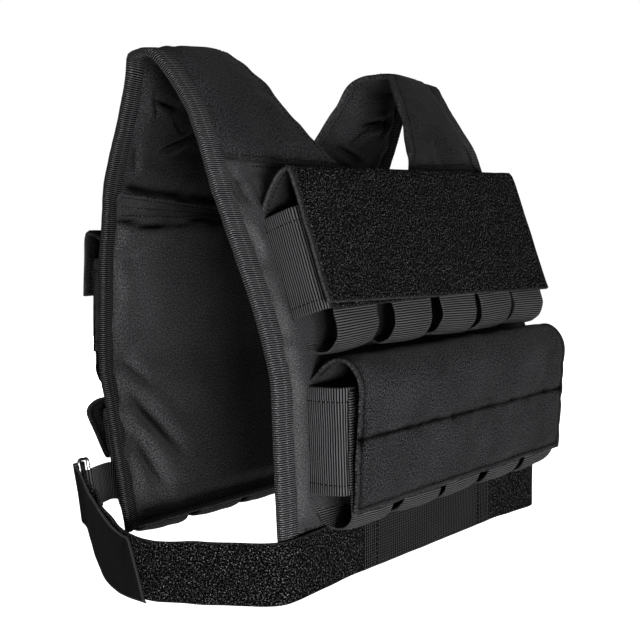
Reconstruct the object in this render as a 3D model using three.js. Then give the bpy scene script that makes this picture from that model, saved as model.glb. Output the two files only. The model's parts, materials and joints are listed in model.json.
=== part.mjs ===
// A weighted vest as it stands when worn: front and back panel, folded shoulder straps,
// four rows of weight pouches and a belt that passes through a ring at each side.
// Millimetres, +Z up, the wearer faces -Y and the wearer's right is -X.
// The origin lies between the shoulders, level with the underside of the straps.
import * as THREE from 'three';

// Body of the vest
const halfWidth = 187;          // middle of the front to the armhole edge, at the strap seam
const frontDrop = 366;          // shoulder seat down to the front hem
const backDrop = 368;           // shoulder seat down to the back hem
const chestReach = 112;         // origin forward to the front hem, at its edge
const backReach = 70.5;         // origin back to the back panel, at its edge
const edgeWall = 4;             // cloth and foam under the binding
const neckWall = 6;             // turned neck edge of a strap
const padWall = 9;              // cloth and foam away from the edge
const strapWall = 11;           // middle of a strap
const frontRoll = 2.5;          // how far the front stands proud of its own edge
const backRoll = 6;
const rollWidth = 22;           // edge zone over which it rises

// Trim and webbing
const clearance = 0.3;          // between pieces that touch
const seamGap = 0.8;            // between a strap and a panel, at their seam
const bindingWidth = 12.5;
const bindingWall = 1.2;
const bindingBow = 1.7;         // fold of the tape past the edge
const webWall = 1.6;            // slings and bands
const slingWidth = 51;
const bandHeight = 76;
const bandHalf = 156;           // middle to the end wall of a band
const bandCorner = 9;
const pouchDepth = 34.5;        // panel to the outside of a band
const slingPitch = 62.5;
const slingCount = 5;
const slingHang = 29;           // bottom of a sling below its band
const tapeHeight = 48;
const tapeWall = 1.2;
const tapeOverhang = 2;         // loop tape below the hem of its band
const slingTuck = 2;            // ends of a sling below the top of the band

// Flaps
const flapWall = 2.2;
const crispHalf = 158;          // middle to the end of a flap
const softHalf = 153;
const crispRise = 28;           // crest above the top of the band
const softRise = 21;
const backCrispRise = 21;
const backSoftRise = 9;
const softSwell = 8;            // bulge of a soft flap past a crisp one
const backSoftSwell = 15;
const crispSkew = 4.5;          // each end of a lower edge above or below its middle
const facingWall = 1.2;
const facingInset = 3;
const facingInsetUp = 1;
const rootHeights = [1, 4];     // where a flap leaves the panel, above the band

// Height of each row: hem of its band below the shoulder seat, and how much of it is covered
const frontUpperDrop = 195;
const frontLowerDrop = 317;
const backUpperDrop = 233;
const backLowerDrop = 349;
const longCover = 78;           // flap front below the top of the band
const softCover = 89;
const shortCover = 31;
const backSoftCover = 40;
const seatShare = 0.94;         // share of a band's height over which it is laid against the panel

// Belt
const beltWidth = 45;
const beltWall = 2.4;
const beltHalf = bandHalf + 66; // middle to the belt at the side
const beltDrop = 378;
const beltFrontDrop = 368;
const webSectionHalf = 92;      // woven middle section
const ringBack = 74;            // origin back to the ring
const tailStations = 7;           // stations of the belt that the tail lies on
const tailGap = 1.6;
const tailFall = 1;
const ringWire = 1.5;           // radius
const ringLength = 50;          // between the middles of its short sides
const ringSlot = 13;
const ringSides = 6;
const ringLean = 12;            // degrees, top backwards
const ringTurn = 20;            // degrees, slot turned in towards the back
const tabWall = 1.6;
const tabWidth = 30;
const tabReturn = 8;
const ringCorner = 3;
const turnStations = 6;         // stations over which the belt turns to the ring

const cloth = { color: 0x16161a, roughness: 0.62, metalness: 0 };
const webbing = { color: 0x1c1c20, roughness: 0.7, metalness: 0 };
const pile = { color: 0x101012, roughness: 0.95, metalness: 0 };
const steel = { color: 0xc8c8c8, roughness: 0.3, metalness: 1 };

// Sections from the front hem up, over the shoulder and down to the back hem. Shares of
// halfWidth, of frontDrop or backDrop, and of chestReach or backReach. The inner columns give
// the neck edge, or the middle of a panel where a row has none.
// columns: outer half, outer drop, outer reach, inner half, inner drop, inner reach, steps
const frontRows = [
  [0.952, 1.000, 1.000, 0, 1.000, 1.000, 1],
  [0.955, 0.943, 0.991, 0, 0.943, 0.991, 4],
  [0.963, 0.716, 0.964, 0, 0.716, 0.964, 1],
  [0.963, 0.656, 0.955, 0, 0.656, 0.955, 1],
  [0.963, 0.590, 0.902, 0, 0.590, 0.902, 4],
  [0.995, 0.322, 0.580, 0, 0.322, 0.580, 1],
  [1.000, 0.273, 0.513, 0, 0.273, 0.545, 1],
];
const frontNeck = [1.000, 0.215, 0.440, 0.262, 0.226, 0.570, 1];
const frontStrapRows = [
  [1.000, 0.180, 0.395, 0.315, 0.196, 0.509, 1],
  [0.992, 0.145, 0.330, 0.378, 0.153, 0.411, 1],
  [0.981, 0.107, 0.250, 0.434, 0.104, 0.312, 1],
  [0.984, 0.063, 0.143, 0.489, 0.046, 0.179, 1],
  [0.997, 0.027, 0.054, 0.538, 0.011, 0.080, 1],
  [1.016, 0.000, -0.036, 0.583, -0.016, -0.027, 1],
  [1.011, -0.003, -0.107, 0.578, -0.019, -0.110, 1],
];
const backStrapRows = [
  [1.005, -0.002, 0.247, 0.567, -0.017, 0.315, 1],
  [0.992, 0.003, 0.425, 0.545, 0.002, 0.575, 1],
  [0.981, 0.040, 0.479, 0.500, 0.054, 0.685, 1],
  [0.979, 0.094, 0.562, 0.444, 0.102, 0.767, 1],
  [0.979, 0.148, 0.658, 0.385, 0.154, 0.850, 1],
  [0.979, 0.210, 0.781, 0.310, 0.216, 0.932, 1],
];
const backNeck = [0.979, 0.272, 0.877, 0.187, 0.315, 1.000, 1];
const backRows = [
  [0.979, 0.353, 0.918, 0, 0.353, 0.950, 2],
  [0.979, 0.431, 0.973, 0, 0.431, 0.973, 4],
  [0.979, 0.639, 1.000, 0, 0.639, 1.000, 1],
  [0.979, 0.740, 0.890, 0, 0.740, 0.890, 4],
  [0.986, 1.000, 0.589, 0, 1.000, 0.589, 1],
];
const neckDip = 6;              // middle of a panel's top edge below its neck corners

// A flap's profile from the panel to its crest. Shares of its reach and of its rise.
// columns: reach, rise
const crispArch = [
  [0.13, 0.27], [0.28, 0.50], [0.46, 0.71], [0.64, 0.90], [0.82, 1.00], [0.94, 1.00], [1.00, 0.84],
];
const softArch = [
  [0.11, 0.27], [0.25, 0.56], [0.40, 0.83], [0.55, 0.97], [0.70, 0.97], [0.84, 0.78],
  [0.95, 0.45], [1.00, 0.10], [0.99, -0.30],
];

// Where each sling hangs beside its even place, a share of the pitch, from the wearer's right
const frontUpperSway = [0.04, 0.19, 0.24, 0.14, 0.04];
const frontLowerSway = [0, 0.02, -0.02, 0.05, 0];
const backSway = [0, 0.04, 0, -0.03, 0];

// The belt's middle line round the wearer's side. Shares of beltHalf, of the reach at the front
// or of ringBack, and of beltDrop.
// columns: side, along, drop
const beltRows = [
  [0.676, -1.000, 0.978],
  [0.757, -0.998, 0.980],
  [0.815, -0.975, 0.983],
  [0.845, -0.905, 0.986],
  [0.874, -0.775, 0.990],
  [0.905, -0.630, 0.992],
  [0.937, -0.498, 0.995],
  [0.973, -0.332, 0.997],
  [0.998, -0.166, 1.000],
  [1.000, 0.000, 1.000],
  [0.991, 0.230, 0.989],
  [0.973, 0.440, 0.969],
  [0.951, 0.640, 0.942],
  [0.930, 0.810, 0.916],
  [0.914, 0.920, 0.900],
];
// A tab's way off the end wall of its band: distance from the wall, share of the pouch's depth
const tabStart = [[0, 0.20], [0, 0.55], [2, 0.66], [7, 0.68]];
const ringSide = 0.910;         // share of beltHalf
const ringDrop = 0.892;         // share of beltDrop

const vector = (x, y, z) => new THREE.Vector3(x, y, z);
const along = (a, b, share) => a.clone().lerp(b, share);

// Normal of a grid of points at one place, from its neighbours
function gridNormal(grid, i, j) {
  const rows = grid.length - 1;
  const columns = grid[0].length - 1;
  const down = grid[Math.min(i + 1, rows)][j].clone().sub(grid[Math.max(i - 1, 0)][j]);
  const across = grid[i][Math.min(j + 1, columns)].clone().sub(grid[i][Math.max(j - 1, 0)]);
  return down.cross(across).normalize();
}

const gridNormals = (grid) => grid.map((row, i) => row.map((_, j) => gridNormal(grid, i, j)));

// A closed wall of cloth about a grid of points on its middle surface
function clothWall(grid, wallAt, normals = gridNormals(grid)) {
  const rows = grid.length;
  const columns = grid[0].length;
  const positions = [];
  for (const side of [0.5, -0.5]) {
    grid.forEach((row, i) => row.forEach((point, j) => {
      const shifted = point.clone().addScaledVector(normals[i][j], side * wallAt(i, j));
      positions.push(...shifted.toArray());
    }));
  }
  const faces = [];
  const top = (i, j) => i * columns + j;
  const under = rows * columns;
  const quad = (a, b, c, d) => faces.push(a, b, c, a, c, d);
  const patch = (a, b, c, d) => {
    faces.push(a, b, c, a, c, d);
    faces.push(a + under, c + under, b + under, a + under, d + under, c + under);
  };
  for (let i = 0; i < rows - 1; i += 1) {
    for (let j = 0; j < columns - 1; j += 1) {
      const corners = [top(i, j), top(i + 1, j), top(i + 1, j + 1), top(i, j + 1)];
      const straight = grid[i][j].distanceTo(grid[i + 1][j + 1]);
      const crossed = grid[i + 1][j].distanceTo(grid[i][j + 1]);
      if (straight > crossed) {
        corners.push(corners.shift());
      }
      patch(...corners);
    }
  }
  const rim = (a, b) => quad(a, b, b + under, a + under);
  for (let i = 0; i < rows - 1; i += 1) {
    rim(top(i + 1, 0), top(i, 0));
    rim(top(i, columns - 1), top(i + 1, columns - 1));
  }
  for (let j = 0; j < columns - 1; j += 1) {
    rim(top(0, j), top(0, j + 1));
    rim(top(rows - 1, j + 1), top(rows - 1, j));
  }
  const geometry = new THREE.BufferGeometry();
  geometry.setAttribute('position', new THREE.Float32BufferAttribute(positions, 3));
  geometry.setIndex(faces);
  geometry.computeVertexNormals();
  return geometry;
}

// A round wire bent into a closed loop through the given points
function wireLoop(points, radius, sides) {
  const positions = [];
  const faces = [];
  const count = points.length;
  const centre = points.reduce((sum, point) => sum.add(point), vector(0, 0, 0)).divideScalar(count);
  const flat = points[0].clone().sub(centre).cross(points[1].clone().sub(centre)).normalize();
  points.forEach((point, i) => {
    const next = points[(i + 1) % count];
    const last = points[(i + count - 1) % count];
    const travel = next.clone().sub(last).normalize();
    const outward = travel.clone().cross(flat).normalize();
    for (let k = 0; k < sides; k += 1) {
      const angle = (2 * Math.PI * k) / sides;
      const spoke = outward.clone().multiplyScalar(Math.cos(angle)).addScaledVector(flat, Math.sin(angle));
      positions.push(...point.clone().addScaledVector(spoke, radius).toArray());
    }
  });
  for (let i = 0; i < count; i += 1) {
    for (let k = 0; k < sides; k += 1) {
      const a = i * sides + k;
      const b = i * sides + ((k + 1) % sides);
      const c = ((i + 1) % count) * sides + ((k + 1) % sides);
      const d = ((i + 1) % count) * sides + k;
      faces.push(a, c, b, a, d, c);
    }
  }
  const geometry = new THREE.BufferGeometry();
  geometry.setAttribute('position', new THREE.Float32BufferAttribute(positions, 3));
  geometry.setIndex(faces);
  geometry.computeVertexNormals();
  return geometry;
}

const vest = new THREE.Group();

function addPiece(name, geometry, finish, parent = vest) {
  const mesh = new THREE.Mesh(geometry, new THREE.MeshStandardMaterial(finish));
  mesh.name = name;
  parent.add(mesh);
  return mesh;
}

// Body. One master grid runs from the front hem over the shoulder to the back hem, from the
// armhole edge inwards, so that panels, straps and bindings share their edges.
const bodyStations = [];

function addStations(rows, next, front, part) {
  rows.forEach((row, k) => {
    const following = rows[k + 1] ?? next;
    const steps = following ? row[6] : 1;
    for (let step = 0; step < steps; step += 1) {
      const share = step / steps;
      const value = (column) => (following ? row[column] + (following[column] - row[column]) * share
        : row[column]);
      const drop = front ? frontDrop : backDrop;
      const reach = front ? -chestReach : backReach;
      bodyStations.push({
        part,
        outer: vector(-value(0) * halfWidth, value(2) * reach, -value(1) * drop),
        inner: vector(-value(3) * halfWidth, value(5) * reach, -value(4) * drop),
        roll: part === 'strap' ? 0 : (front ? frontRoll : backRoll),
      });
    }
  });
}

// Rows of a panel have no neck edge of their own: the column that ends at the neck corner
// is carried down the panel
const neckCorner = (rows, neck) => rows.map((row) => [...row.slice(0, 3), neck[3], ...row.slice(4)]);
addStations(neckCorner(frontRows, frontNeck), frontNeck, true, 'front');
const frontSeam = bodyStations.length;
addStations([frontNeck], null, true, 'seam');
addStations(frontStrapRows, null, true, 'strap');
addStations(backStrapRows, null, false, 'strap');
const backSeam = bodyStations.length;
addStations([backNeck], null, false, 'seam');
addStations(neckCorner(backRows, backNeck), null, false, 'back');

const padColumnCount = 3;           // columns between the edge zone and the neck edge

const bodyGrid = bodyStations.map((station, k) => {
  const { outer, inner, roll } = station;
  const span = outer.distanceTo(inner);
  const inward = inner.clone().sub(outer).divideScalar(span);
  const distances = [0, bindingWidth, rollWidth];
  for (let column = 1; column <= padColumnCount; column += 1) {
    distances.push(rollWidth + ((span - rollWidth) * column) / padColumnCount);
  }
  const side = k <= frontSeam ? -1 : 1;
  return distances.map((distance) => {
    const rise = roll * Math.min(distance / rollWidth, 1);
    const point = outer.clone().addScaledVector(inward, distance);
    point.y += side * rise;
    return point;
  });
});
const bodyNormals = gridNormals(bodyGrid);
const bodyColumns = bodyGrid[0].length;

const panelWall = (column) => (column < 2 ? edgeWall : padWall);

const mirrored = (point) => vector(-point.x, point.y, point.z);

// Halves of the master grid, cut at the seams with half the seam's gap to each side
function seamCut(first, last, trimFirst, trimLast) {
  const rows = bodyGrid.slice(first, last + 1).map((row) => row.map((point) => point.clone()));
  const normals = bodyNormals.slice(first, last + 1);
  const trim = (edge, beside) => edge.map((point, j) => {
    const away = beside[j].clone().sub(point).normalize();
    return point.clone().addScaledVector(away, seamGap / 2);
  });
  if (trimFirst) {
    rows[0] = trim(rows[0], rows[1]);
  }
  if (trimLast) {
    rows[rows.length - 1] = trim(rows[rows.length - 1], rows[rows.length - 2]);
  }
  return { rows, normals };
}

// A panel spans both halves, with one column down its middle
function addPanel(name, first, last, trimFirst, trimLast) {
  const { rows, normals } = seamCut(first, last, trimFirst, trimLast);
  const grid = [];
  const gridNormalRows = [];
  const topRow = trimLast ? rows.length - 1 : 0;
  rows.forEach((row, i) => {
    const inner = row[row.length - 1];
    const middle = vector(0, inner.y, inner.z - (i === topRow ? neckDip : 0));
    const middleNormal = vector(0, normals[i][row.length - 1].y, normals[i][row.length - 1].z).normalize();
    const flipped = normals[i].map((normal) => vector(-normal.x, normal.y, normal.z)).reverse();
    grid.push([...row, middle, ...row.map(mirrored).reverse()]);
    gridNormalRows.push([...normals[i], middleNormal, ...flipped]);
  });
  const lastColumn = grid[0].length - 1;
  const wallAt = (i, j) => panelWall(Math.min(j, lastColumn - j));
  addPiece(name, clothWall(grid, wallAt, gridNormalRows), cloth);
}

addPanel('front_panel', 0, frontSeam, false, true);
addPanel('back_panel', backSeam, bodyGrid.length - 1, true, false);

// A grid for the wearer's right as it is, or mirrored for the left
const handed = (grid, right) => (right ? grid : grid.map((row) => row.map(mirrored).reverse()));
const sideName = (right) => (right ? 'right' : 'left');

for (const right of [true, false]) {
  const { rows, normals } = seamCut(frontSeam, backSeam, true, true);
  const wallAt = (i, j) => {
    const column = right ? j : bodyColumns - 1 - j;
    const atSeam = i === 0 || i === rows.length - 1;
    if (column < 3) {
      return panelWall(column);
    }
    return column === bodyColumns - 1 ? neckWall : (atSeam ? padWall : strapWall);
  };
  const geometry = clothWall(handed(rows, right), wallAt, handed(normals, right));
  addPiece(`shoulder_strap_${sideName(right)}`, geometry, cloth);
}

// Ribbed tape folded over the whole armhole edge
const bindingGrid = bodyGrid.map((row, i) => {
  const [edge, inside] = row;
  const [edgeNormal, insideNormal] = bodyNormals[i];
  const lift = edgeWall / 2 + clearance + bindingWall / 2;
  const out = edge.clone().sub(inside).normalize();
  const fold = (height, past) => edge.clone()
    .addScaledVector(out, past * bindingBow)
    .addScaledVector(edgeNormal, height * lift);
  return [
    inside.clone().addScaledVector(insideNormal, lift),
    fold(1, 0.35),
    fold(0.6, 1),
    fold(-0.6, 1),
    fold(-1, 0.35),
    inside.clone().addScaledVector(insideNormal, -lift),
  ];
});
for (const right of [true, false]) {
  const geometry = clothWall(handed(bindingGrid, right), () => bindingWall);
  addPiece(`armhole_binding_${sideName(right)}`, geometry, webbing);
}

// How far the outside of a panel stands from the origin at a height, away from its edges
function panelReach(front, drop) {
  const part = bodyStations.filter((station) => station.part === (front ? 'front' : 'back'));
  const levels = part.map((station) => [-station.inner.z, Math.abs(station.inner.y)]);
  levels.sort((a, b) => a[0] - b[0]);
  const last = levels.length - 1;
  const k = Math.min(Math.max(levels.findIndex((level) => level[0] >= drop), 1), last);
  const [low, high] = [levels[k - 1], levels[k]];
  const share = (drop - low[0]) / (high[0] - low[0]);
  return low[1] + (high[1] - low[1]) * share + (front ? frontRoll : backRoll) + padWall / 2;
}

// A row of pouches is built flat against its panel: x across, -y away from the panel, z up
// from the lower edge of its band
function rowFrame(front, drop) {
  const topDrop = drop - bandHeight * seatShare;
  const fall = panelReach(front, drop) - panelReach(front, topDrop);
  const turned = new THREE.Group();
  turned.rotation.z = front ? 0 : Math.PI;
  const seated = new THREE.Group();
  seated.position.set(0, -panelReach(front, drop), -drop);
  seated.rotation.x = -Math.atan2(fall, drop - topDrop);
  turned.add(seated);
  vest.add(turned);
  return seated;
}

// A profile in reach and height swept across the row
function acrossRow(profile, lines) {
  return profile.map(([reach, height]) => lines.map((x) => vector(x, -reach, height)));
}

// A band: webbing from the panel round the outside and back
function addBand(name, frame) {
  const front = pouchDepth - webWall / 2;
  const foot = clearance;
  const steps = 3;
  const corner = (side) => {
    const points = [];
    for (let k = 0; k <= steps; k += 1) {
      const angle = (Math.PI / 2) * (k / steps);
      const x = side * (bandHalf - bandCorner + bandCorner * Math.cos(angle));
      points.push([x, front - bandCorner + bandCorner * Math.sin(angle)]);
    }
    return side < 0 ? points : points.reverse();
  };
  const path = [[-bandHalf, foot], ...corner(-1), ...corner(1), [bandHalf, foot]];
  const grid = path.map(([x, reach]) => [vector(x, -reach, 0), vector(x, -reach, bandHeight)]);
  addPiece(name, clothWall(grid, () => webWall), webbing, frame);
}

// A sling: webbing down the panel, round the bottom and up over the band
const slingOuter = pouchDepth + clearance + webWall;
function addSling(name, frame, middle) {
  const back = clearance + webWall / 2;
  const front = slingOuter - webWall / 2;
  const radius = (front - back) / 2;
  const bottom = radius - slingHang;
  const profile = [[back, bandHeight - slingTuck], [back, bandHeight / 2], [back, bottom]];
  const steps = 7;
  for (let k = 1; k < steps; k += 1) {
    const angle = (Math.PI * k) / steps;
    profile.push([back + radius - radius * Math.cos(angle), bottom - radius * Math.sin(angle)]);
  }
  profile.push([front, bottom], [front, bandHeight / 2], [front, bandHeight - slingTuck]);
  const lines = [middle - slingWidth / 2, middle + slingWidth / 2];
  addPiece(name, clothWall(acrossRow(profile, lines), () => webWall), webbing, frame);
}

// A flap: from the panel above the band, over an arch and down the front
const flapInner = slingOuter + clearance + tapeWall + clearance;
function addFlap(name, frame, shape) {
  const { arch, swell, rise, cover, half, skew } = shape;
  const reach = flapInner + flapWall / 2;
  const full = reach + swell;
  const top = bandHeight;
  const lines = [-half, -half / 2, 0, half / 2, half];
  const root = rootHeights.map((height, k) => [clearance + flapWall / 2 + k, top + height]);
  const profile = [...root, ...arch.map(([out, up]) => [out * full, top + up * rise])];
  const grid = acrossRow(profile, lines);
  const [lastReach, lastHeight] = profile[profile.length - 1];
  const falls = 3;
  for (let k = 1; k <= falls; k += 1) {
    const share = k / falls;
    grid.push(lines.map((x) => {
      const end = top - cover - skew * (x / half);
      return vector(x, -(lastReach + (reach - lastReach) * share), lastHeight + (end - lastHeight) * share);
    }));
  }
  addPiece(name, clothWall(grid, () => flapWall), cloth, frame);
}

// Loop tape over the slings, and loop pile on the face of a crisp flap
function addTape(name, frame) {
  const reach = slingOuter + clearance + tapeWall / 2;
  const half = slingPitch * 2 + slingWidth / 2;
  const profile = [[reach, -tapeOverhang], [reach, tapeHeight - tapeOverhang]];
  addPiece(name, clothWall(acrossRow(profile, [-half, half]), () => tapeWall), pile, frame);
}

function addFacing(name, frame, shape) {
  const reach = flapInner + flapWall + clearance + facingWall / 2;
  const half = shape.half - facingInset;
  const archEnd = shape.arch[shape.arch.length - 1][1];
  const top = bandHeight + shape.rise * archEnd - facingInsetUp;
  const end = (x) => bandHeight - shape.cover - shape.skew * (x / shape.half) + facingInsetUp;
  const grid = [
    [vector(-half, -reach, top), vector(half, -reach, top)],
    [vector(-half, -reach, end(-half)), vector(half, -reach, end(half))],
  ];
  addPiece(name, clothWall(grid, () => facingWall), pile, frame);
}

function addRow(name, front, drop, sway, shape) {
  const frame = rowFrame(front, drop);
  addBand(`${name}_band`, frame);
  for (let k = 0; k < slingCount; k += 1) {
    const order = k - (slingCount - 1) / 2;
    const middle = slingPitch * (order + sway[k]);
    addSling(`${name}_sling_${k + 1}`, frame, middle);
  }
  addFlap(`${name}_flap`, frame, shape);
  if (shape.arch === crispArch) {
    addTape(`${name}_loop_tape`, frame);
    addFacing(`${name}_flap_facing`, frame, shape);
  }
}

const crisp = { arch: crispArch, swell: 0, half: crispHalf, skew: crispSkew };
const soft = { arch: softArch, half: softHalf, skew: 0 };
addRow('front_upper', true, frontUpperDrop, frontUpperSway,
  { ...crisp, rise: crispRise, cover: longCover });
addRow('front_lower', true, frontLowerDrop, frontLowerSway,
  { ...soft, swell: softSwell, rise: softRise, cover: softCover });
addRow('back_upper', false, backUpperDrop, backSway,
  { ...crisp, rise: backCrispRise, cover: shortCover, skew: 0 });
addRow('back_lower', false, backLowerDrop, backSway,
  { ...soft, swell: backSoftSwell, rise: backSoftRise, cover: backSoftCover });

// Belt. The woven section crosses the hem of the front panel.
const beltReach = panelReach(true, frontDrop) + clearance + beltWall / 2;
const webRow = (height) => [-webSectionHalf, 0, webSectionHalf].map((x) => vector(x, -beltReach, height));
const webGrid = [webRow(-beltFrontDrop - beltWidth / 2), webRow(-beltFrontDrop + beltWidth / 2)];
addPiece('belt_front', clothWall(webGrid, () => beltWall), webbing);

// The ring's own axes: along its long sides, from its front side to its rear side, and outward
const lean = THREE.MathUtils.degToRad(ringLean);
const turn = THREE.MathUtils.degToRad(ringTurn);
const ringUp = vector(0, Math.sin(lean), Math.cos(lean));
const ringIn = vector(Math.cos(turn), Math.sin(turn), 0);
ringIn.addScaledVector(ringUp, -ringIn.dot(ringUp)).normalize();
const ringOut = ringIn.clone().cross(ringUp).normalize();
if (ringOut.x > 0) {
  ringOut.negate();
}
const ringFront = vector(-ringSide * beltHalf, ringBack, -ringDrop * beltDrop);

function ringPoints() {
  const points = [];
  const steps = 3;
  for (let quarter = 0; quarter < 4; quarter += 1) {
    const rearSide = quarter === 0 || quarter === 3;
    const upperSide = quarter < 2;
    const centreIn = rearSide ? ringSlot - ringCorner : ringCorner;
    const centreUp = (upperSide ? 1 : -1) * (ringLength / 2 - ringCorner);
    for (let k = 0; k <= steps; k += 1) {
      const angle = (Math.PI / 2) * (quarter + k / steps);
      points.push(ringFront.clone()
        .addScaledVector(ringIn, centreIn + ringCorner * Math.cos(angle))
        .addScaledVector(ringUp, centreUp + ringCorner * Math.sin(angle)));
    }
  }
  return points;
}

// The belt from the woven section round the side, through the ring and back outside itself
function beltGrid() {
  const inner = beltRows.map(([side, reach, drop]) => {
    const y = reach < 0 ? reach * beltReach : reach * ringBack;
    return vector(-side * beltHalf, y, -drop * beltDrop);
  });
  const joint = webSectionHalf + clearance;
  inner.unshift(vector(-joint - beltWidth / 3, -beltReach, -beltFrontDrop));
  inner.unshift(vector(-joint, -beltReach, -beltFrontDrop));
  const bend = ringWire + 2 * clearance + beltWall / 2;
  const steps = 6;
  const wrap = [];
  for (let k = 0; k <= steps; k += 1) {
    const angle = (Math.PI * k) / steps;
    wrap.push(ringFront.clone()
      .addScaledVector(ringOut, -bend * Math.cos(angle))
      .addScaledVector(ringIn, bend * Math.sin(angle)));
  }
  wrap.unshift(wrap[0].clone().addScaledVector(ringIn, -bend));
  wrap.push(wrap[wrap.length - 1].clone().addScaledVector(ringIn, -bend));
  const tail = [];
  for (let k = 1; k <= tailStations; k += 1) {
    const index = inner.length - k;
    const travel = inner[index].clone().sub(inner[index - 1]);
    const outward = vector(-travel.y, travel.x, 0).normalize();
    if (outward.x > 0) {
      outward.negate();
    }
    const fall = tailFall * (k / tailStations);
    tail.push(inner[index].clone().addScaledVector(outward, beltWall + tailGap).add(vector(0, 0, -fall)));
  }
  const middles = [...inner, ...wrap, ...tail];
  const turnEnd = inner.length - 1;
  const turnStart = turnEnd - turnStations;
  return middles.map((point, k) => {
    let towardRing = THREE.MathUtils.smoothstep(k, turnStart, turnEnd);
    if (k >= inner.length + wrap.length) {
      towardRing = THREE.MathUtils.smoothstep(middles.length - 1 - k, 0, tailStations - 1);
    }
    const up = along(vector(0, 0, 1), ringUp, towardRing).normalize();
    const next = middles[Math.min(k + 1, middles.length - 1)];
    const last = middles[Math.max(k - 1, 0)];
    const travel = next.clone().sub(last).normalize();
    const inWrap = k >= inner.length && k < inner.length + wrap.length;
    const square = up.clone().addScaledVector(travel, -up.dot(travel) * (1 - towardRing)).normalize();
    const across = inWrap ? ringUp : square;
    return [-0.5, 0, 0.5].map((share) => point.clone().addScaledVector(across, share * beltWidth));
  });
}

// A webbing tab from the end wall of the lower back band round the rear side of the ring
function tabGrid() {
  const rear = ringFront.clone().addScaledVector(ringIn, ringSlot);
  const wall = -(bandHalf + webWall / 2 + clearance + tabWall / 2);
  const reach = panelReach(false, backLowerDrop - bandHeight / 2);
  const level = rear.z;
  const path = tabStart.map(([away, share]) => vector(wall - away, reach + pouchDepth * share, level));
  const bend = ringWire + clearance + tabWall / 2;
  const steps = 5;
  for (let k = 0; k <= steps; k += 1) {
    const angle = (Math.PI * k) / steps;
    path.push(rear.clone()
      .addScaledVector(ringOut, bend * Math.cos(angle))
      .addScaledVector(ringIn, -bend * Math.sin(angle)));
  }
  path.push(path[path.length - 1].clone().addScaledVector(ringIn, tabReturn));
  return path.map((point, k) => {
    const towardRing = THREE.MathUtils.smoothstep(k, 1, 4);
    const up = along(vector(0, 0, 1), ringUp, towardRing).normalize();
    return [-0.5, 0.5].map((share) => point.clone().addScaledVector(up, share * tabWidth));
  });
}

for (const right of [true, false]) {
  const side = sideName(right);
  addPiece(`belt_side_${side}`, clothWall(handed(beltGrid(), right), () => beltWall), pile);
  addPiece(`belt_tab_${side}`, clothWall(handed(tabGrid(), right), () => tabWall), webbing);
  const [points] = handed([ringPoints()], right);
  addPiece(`belt_ring_${side}`, wireLoop(points, ringWire, ringSides), steel);
}

export default vest;
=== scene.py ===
import json
import math

import bpy
import numpy as np
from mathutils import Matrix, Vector, noise

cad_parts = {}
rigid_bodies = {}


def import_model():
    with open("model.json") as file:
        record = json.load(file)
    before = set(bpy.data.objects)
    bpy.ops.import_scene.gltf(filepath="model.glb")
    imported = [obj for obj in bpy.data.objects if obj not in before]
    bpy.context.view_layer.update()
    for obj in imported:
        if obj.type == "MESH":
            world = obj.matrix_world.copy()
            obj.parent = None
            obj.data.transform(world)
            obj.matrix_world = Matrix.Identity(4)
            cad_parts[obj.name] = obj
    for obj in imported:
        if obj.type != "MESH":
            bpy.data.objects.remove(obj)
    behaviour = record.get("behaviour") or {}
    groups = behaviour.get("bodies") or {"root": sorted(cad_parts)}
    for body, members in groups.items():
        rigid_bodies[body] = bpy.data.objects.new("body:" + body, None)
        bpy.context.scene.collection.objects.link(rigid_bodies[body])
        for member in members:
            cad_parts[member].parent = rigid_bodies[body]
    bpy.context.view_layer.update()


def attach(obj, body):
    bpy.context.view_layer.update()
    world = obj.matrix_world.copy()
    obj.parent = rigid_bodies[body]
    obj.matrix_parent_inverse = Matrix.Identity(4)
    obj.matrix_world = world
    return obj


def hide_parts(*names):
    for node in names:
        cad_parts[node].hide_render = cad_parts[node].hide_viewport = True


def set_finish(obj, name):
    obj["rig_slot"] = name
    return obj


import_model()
print("vest: frame loaded")

mm = 0.001


# small tools for points

def smoothRun(knots, table, at):
    # monotone cubic through the rows of a table, so that nothing overshoots
    x = np.asarray(knots, float)
    y = np.asarray(table, float)
    at = np.clip(np.asarray(at, float), x[0], x[-1])
    step = np.diff(x)[:, None]
    slope = np.diff(y, axis=0) / step
    before, after = slope[:-1], slope[1:]
    same = before * after > 0
    weightA = 2 * step[1:] + step[:-1]
    weightB = step[1:] + 2 * step[:-1]
    safe = weightA / np.where(same, before, 1) + weightB / np.where(same, after, 1)
    grade = np.vstack([slope[:1], np.where(same, (weightA + weightB) / safe, 0), slope[-1:]])
    k = np.clip(np.searchsorted(x, at, side="right") - 1, 0, len(x) - 2)
    t = ((at - x[k]) / np.diff(x)[k])[:, None]
    width = np.diff(x)[k][:, None]
    return ((2 * t**3 - 3 * t**2 + 1) * y[k] + (t**3 - 2 * t**2 + t) * width * grade[k]
            + (3 * t**2 - 2 * t**3) * y[k + 1] + (t**3 - t**2) * width * grade[k + 1])


def runLength(points):
    steps = np.linalg.norm(np.diff(points, axis=0), axis=1)
    return np.concatenate([[0], np.cumsum(steps)])


def evenRun(points, spacing, rounding):
    # a polyline rounded at its bends and cut to even steps
    points = np.asarray(points, float)
    for _ in range(rounding):
        quarter = points[:-1] * 0.75 + points[1:] * 0.25
        late = points[:-1] * 0.25 + points[1:] * 0.75
        middle = np.empty((len(quarter) * 2, points.shape[1]))
        middle[0::2], middle[1::2] = quarter, late
        points = np.vstack([points[:1], middle, points[-1:]])
    lengths = runLength(points)
    count = max(int(round(lengths[-1] / spacing)), 2)
    at = np.linspace(0, lengths[-1], count + 1)
    return np.stack([np.interp(at, lengths, points[:, c]) for c in range(points.shape[1])], axis=1)


def unit(vectors):
    return vectors / np.maximum(np.linalg.norm(vectors, axis=-1, keepdims=True), 1e-9)


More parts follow.
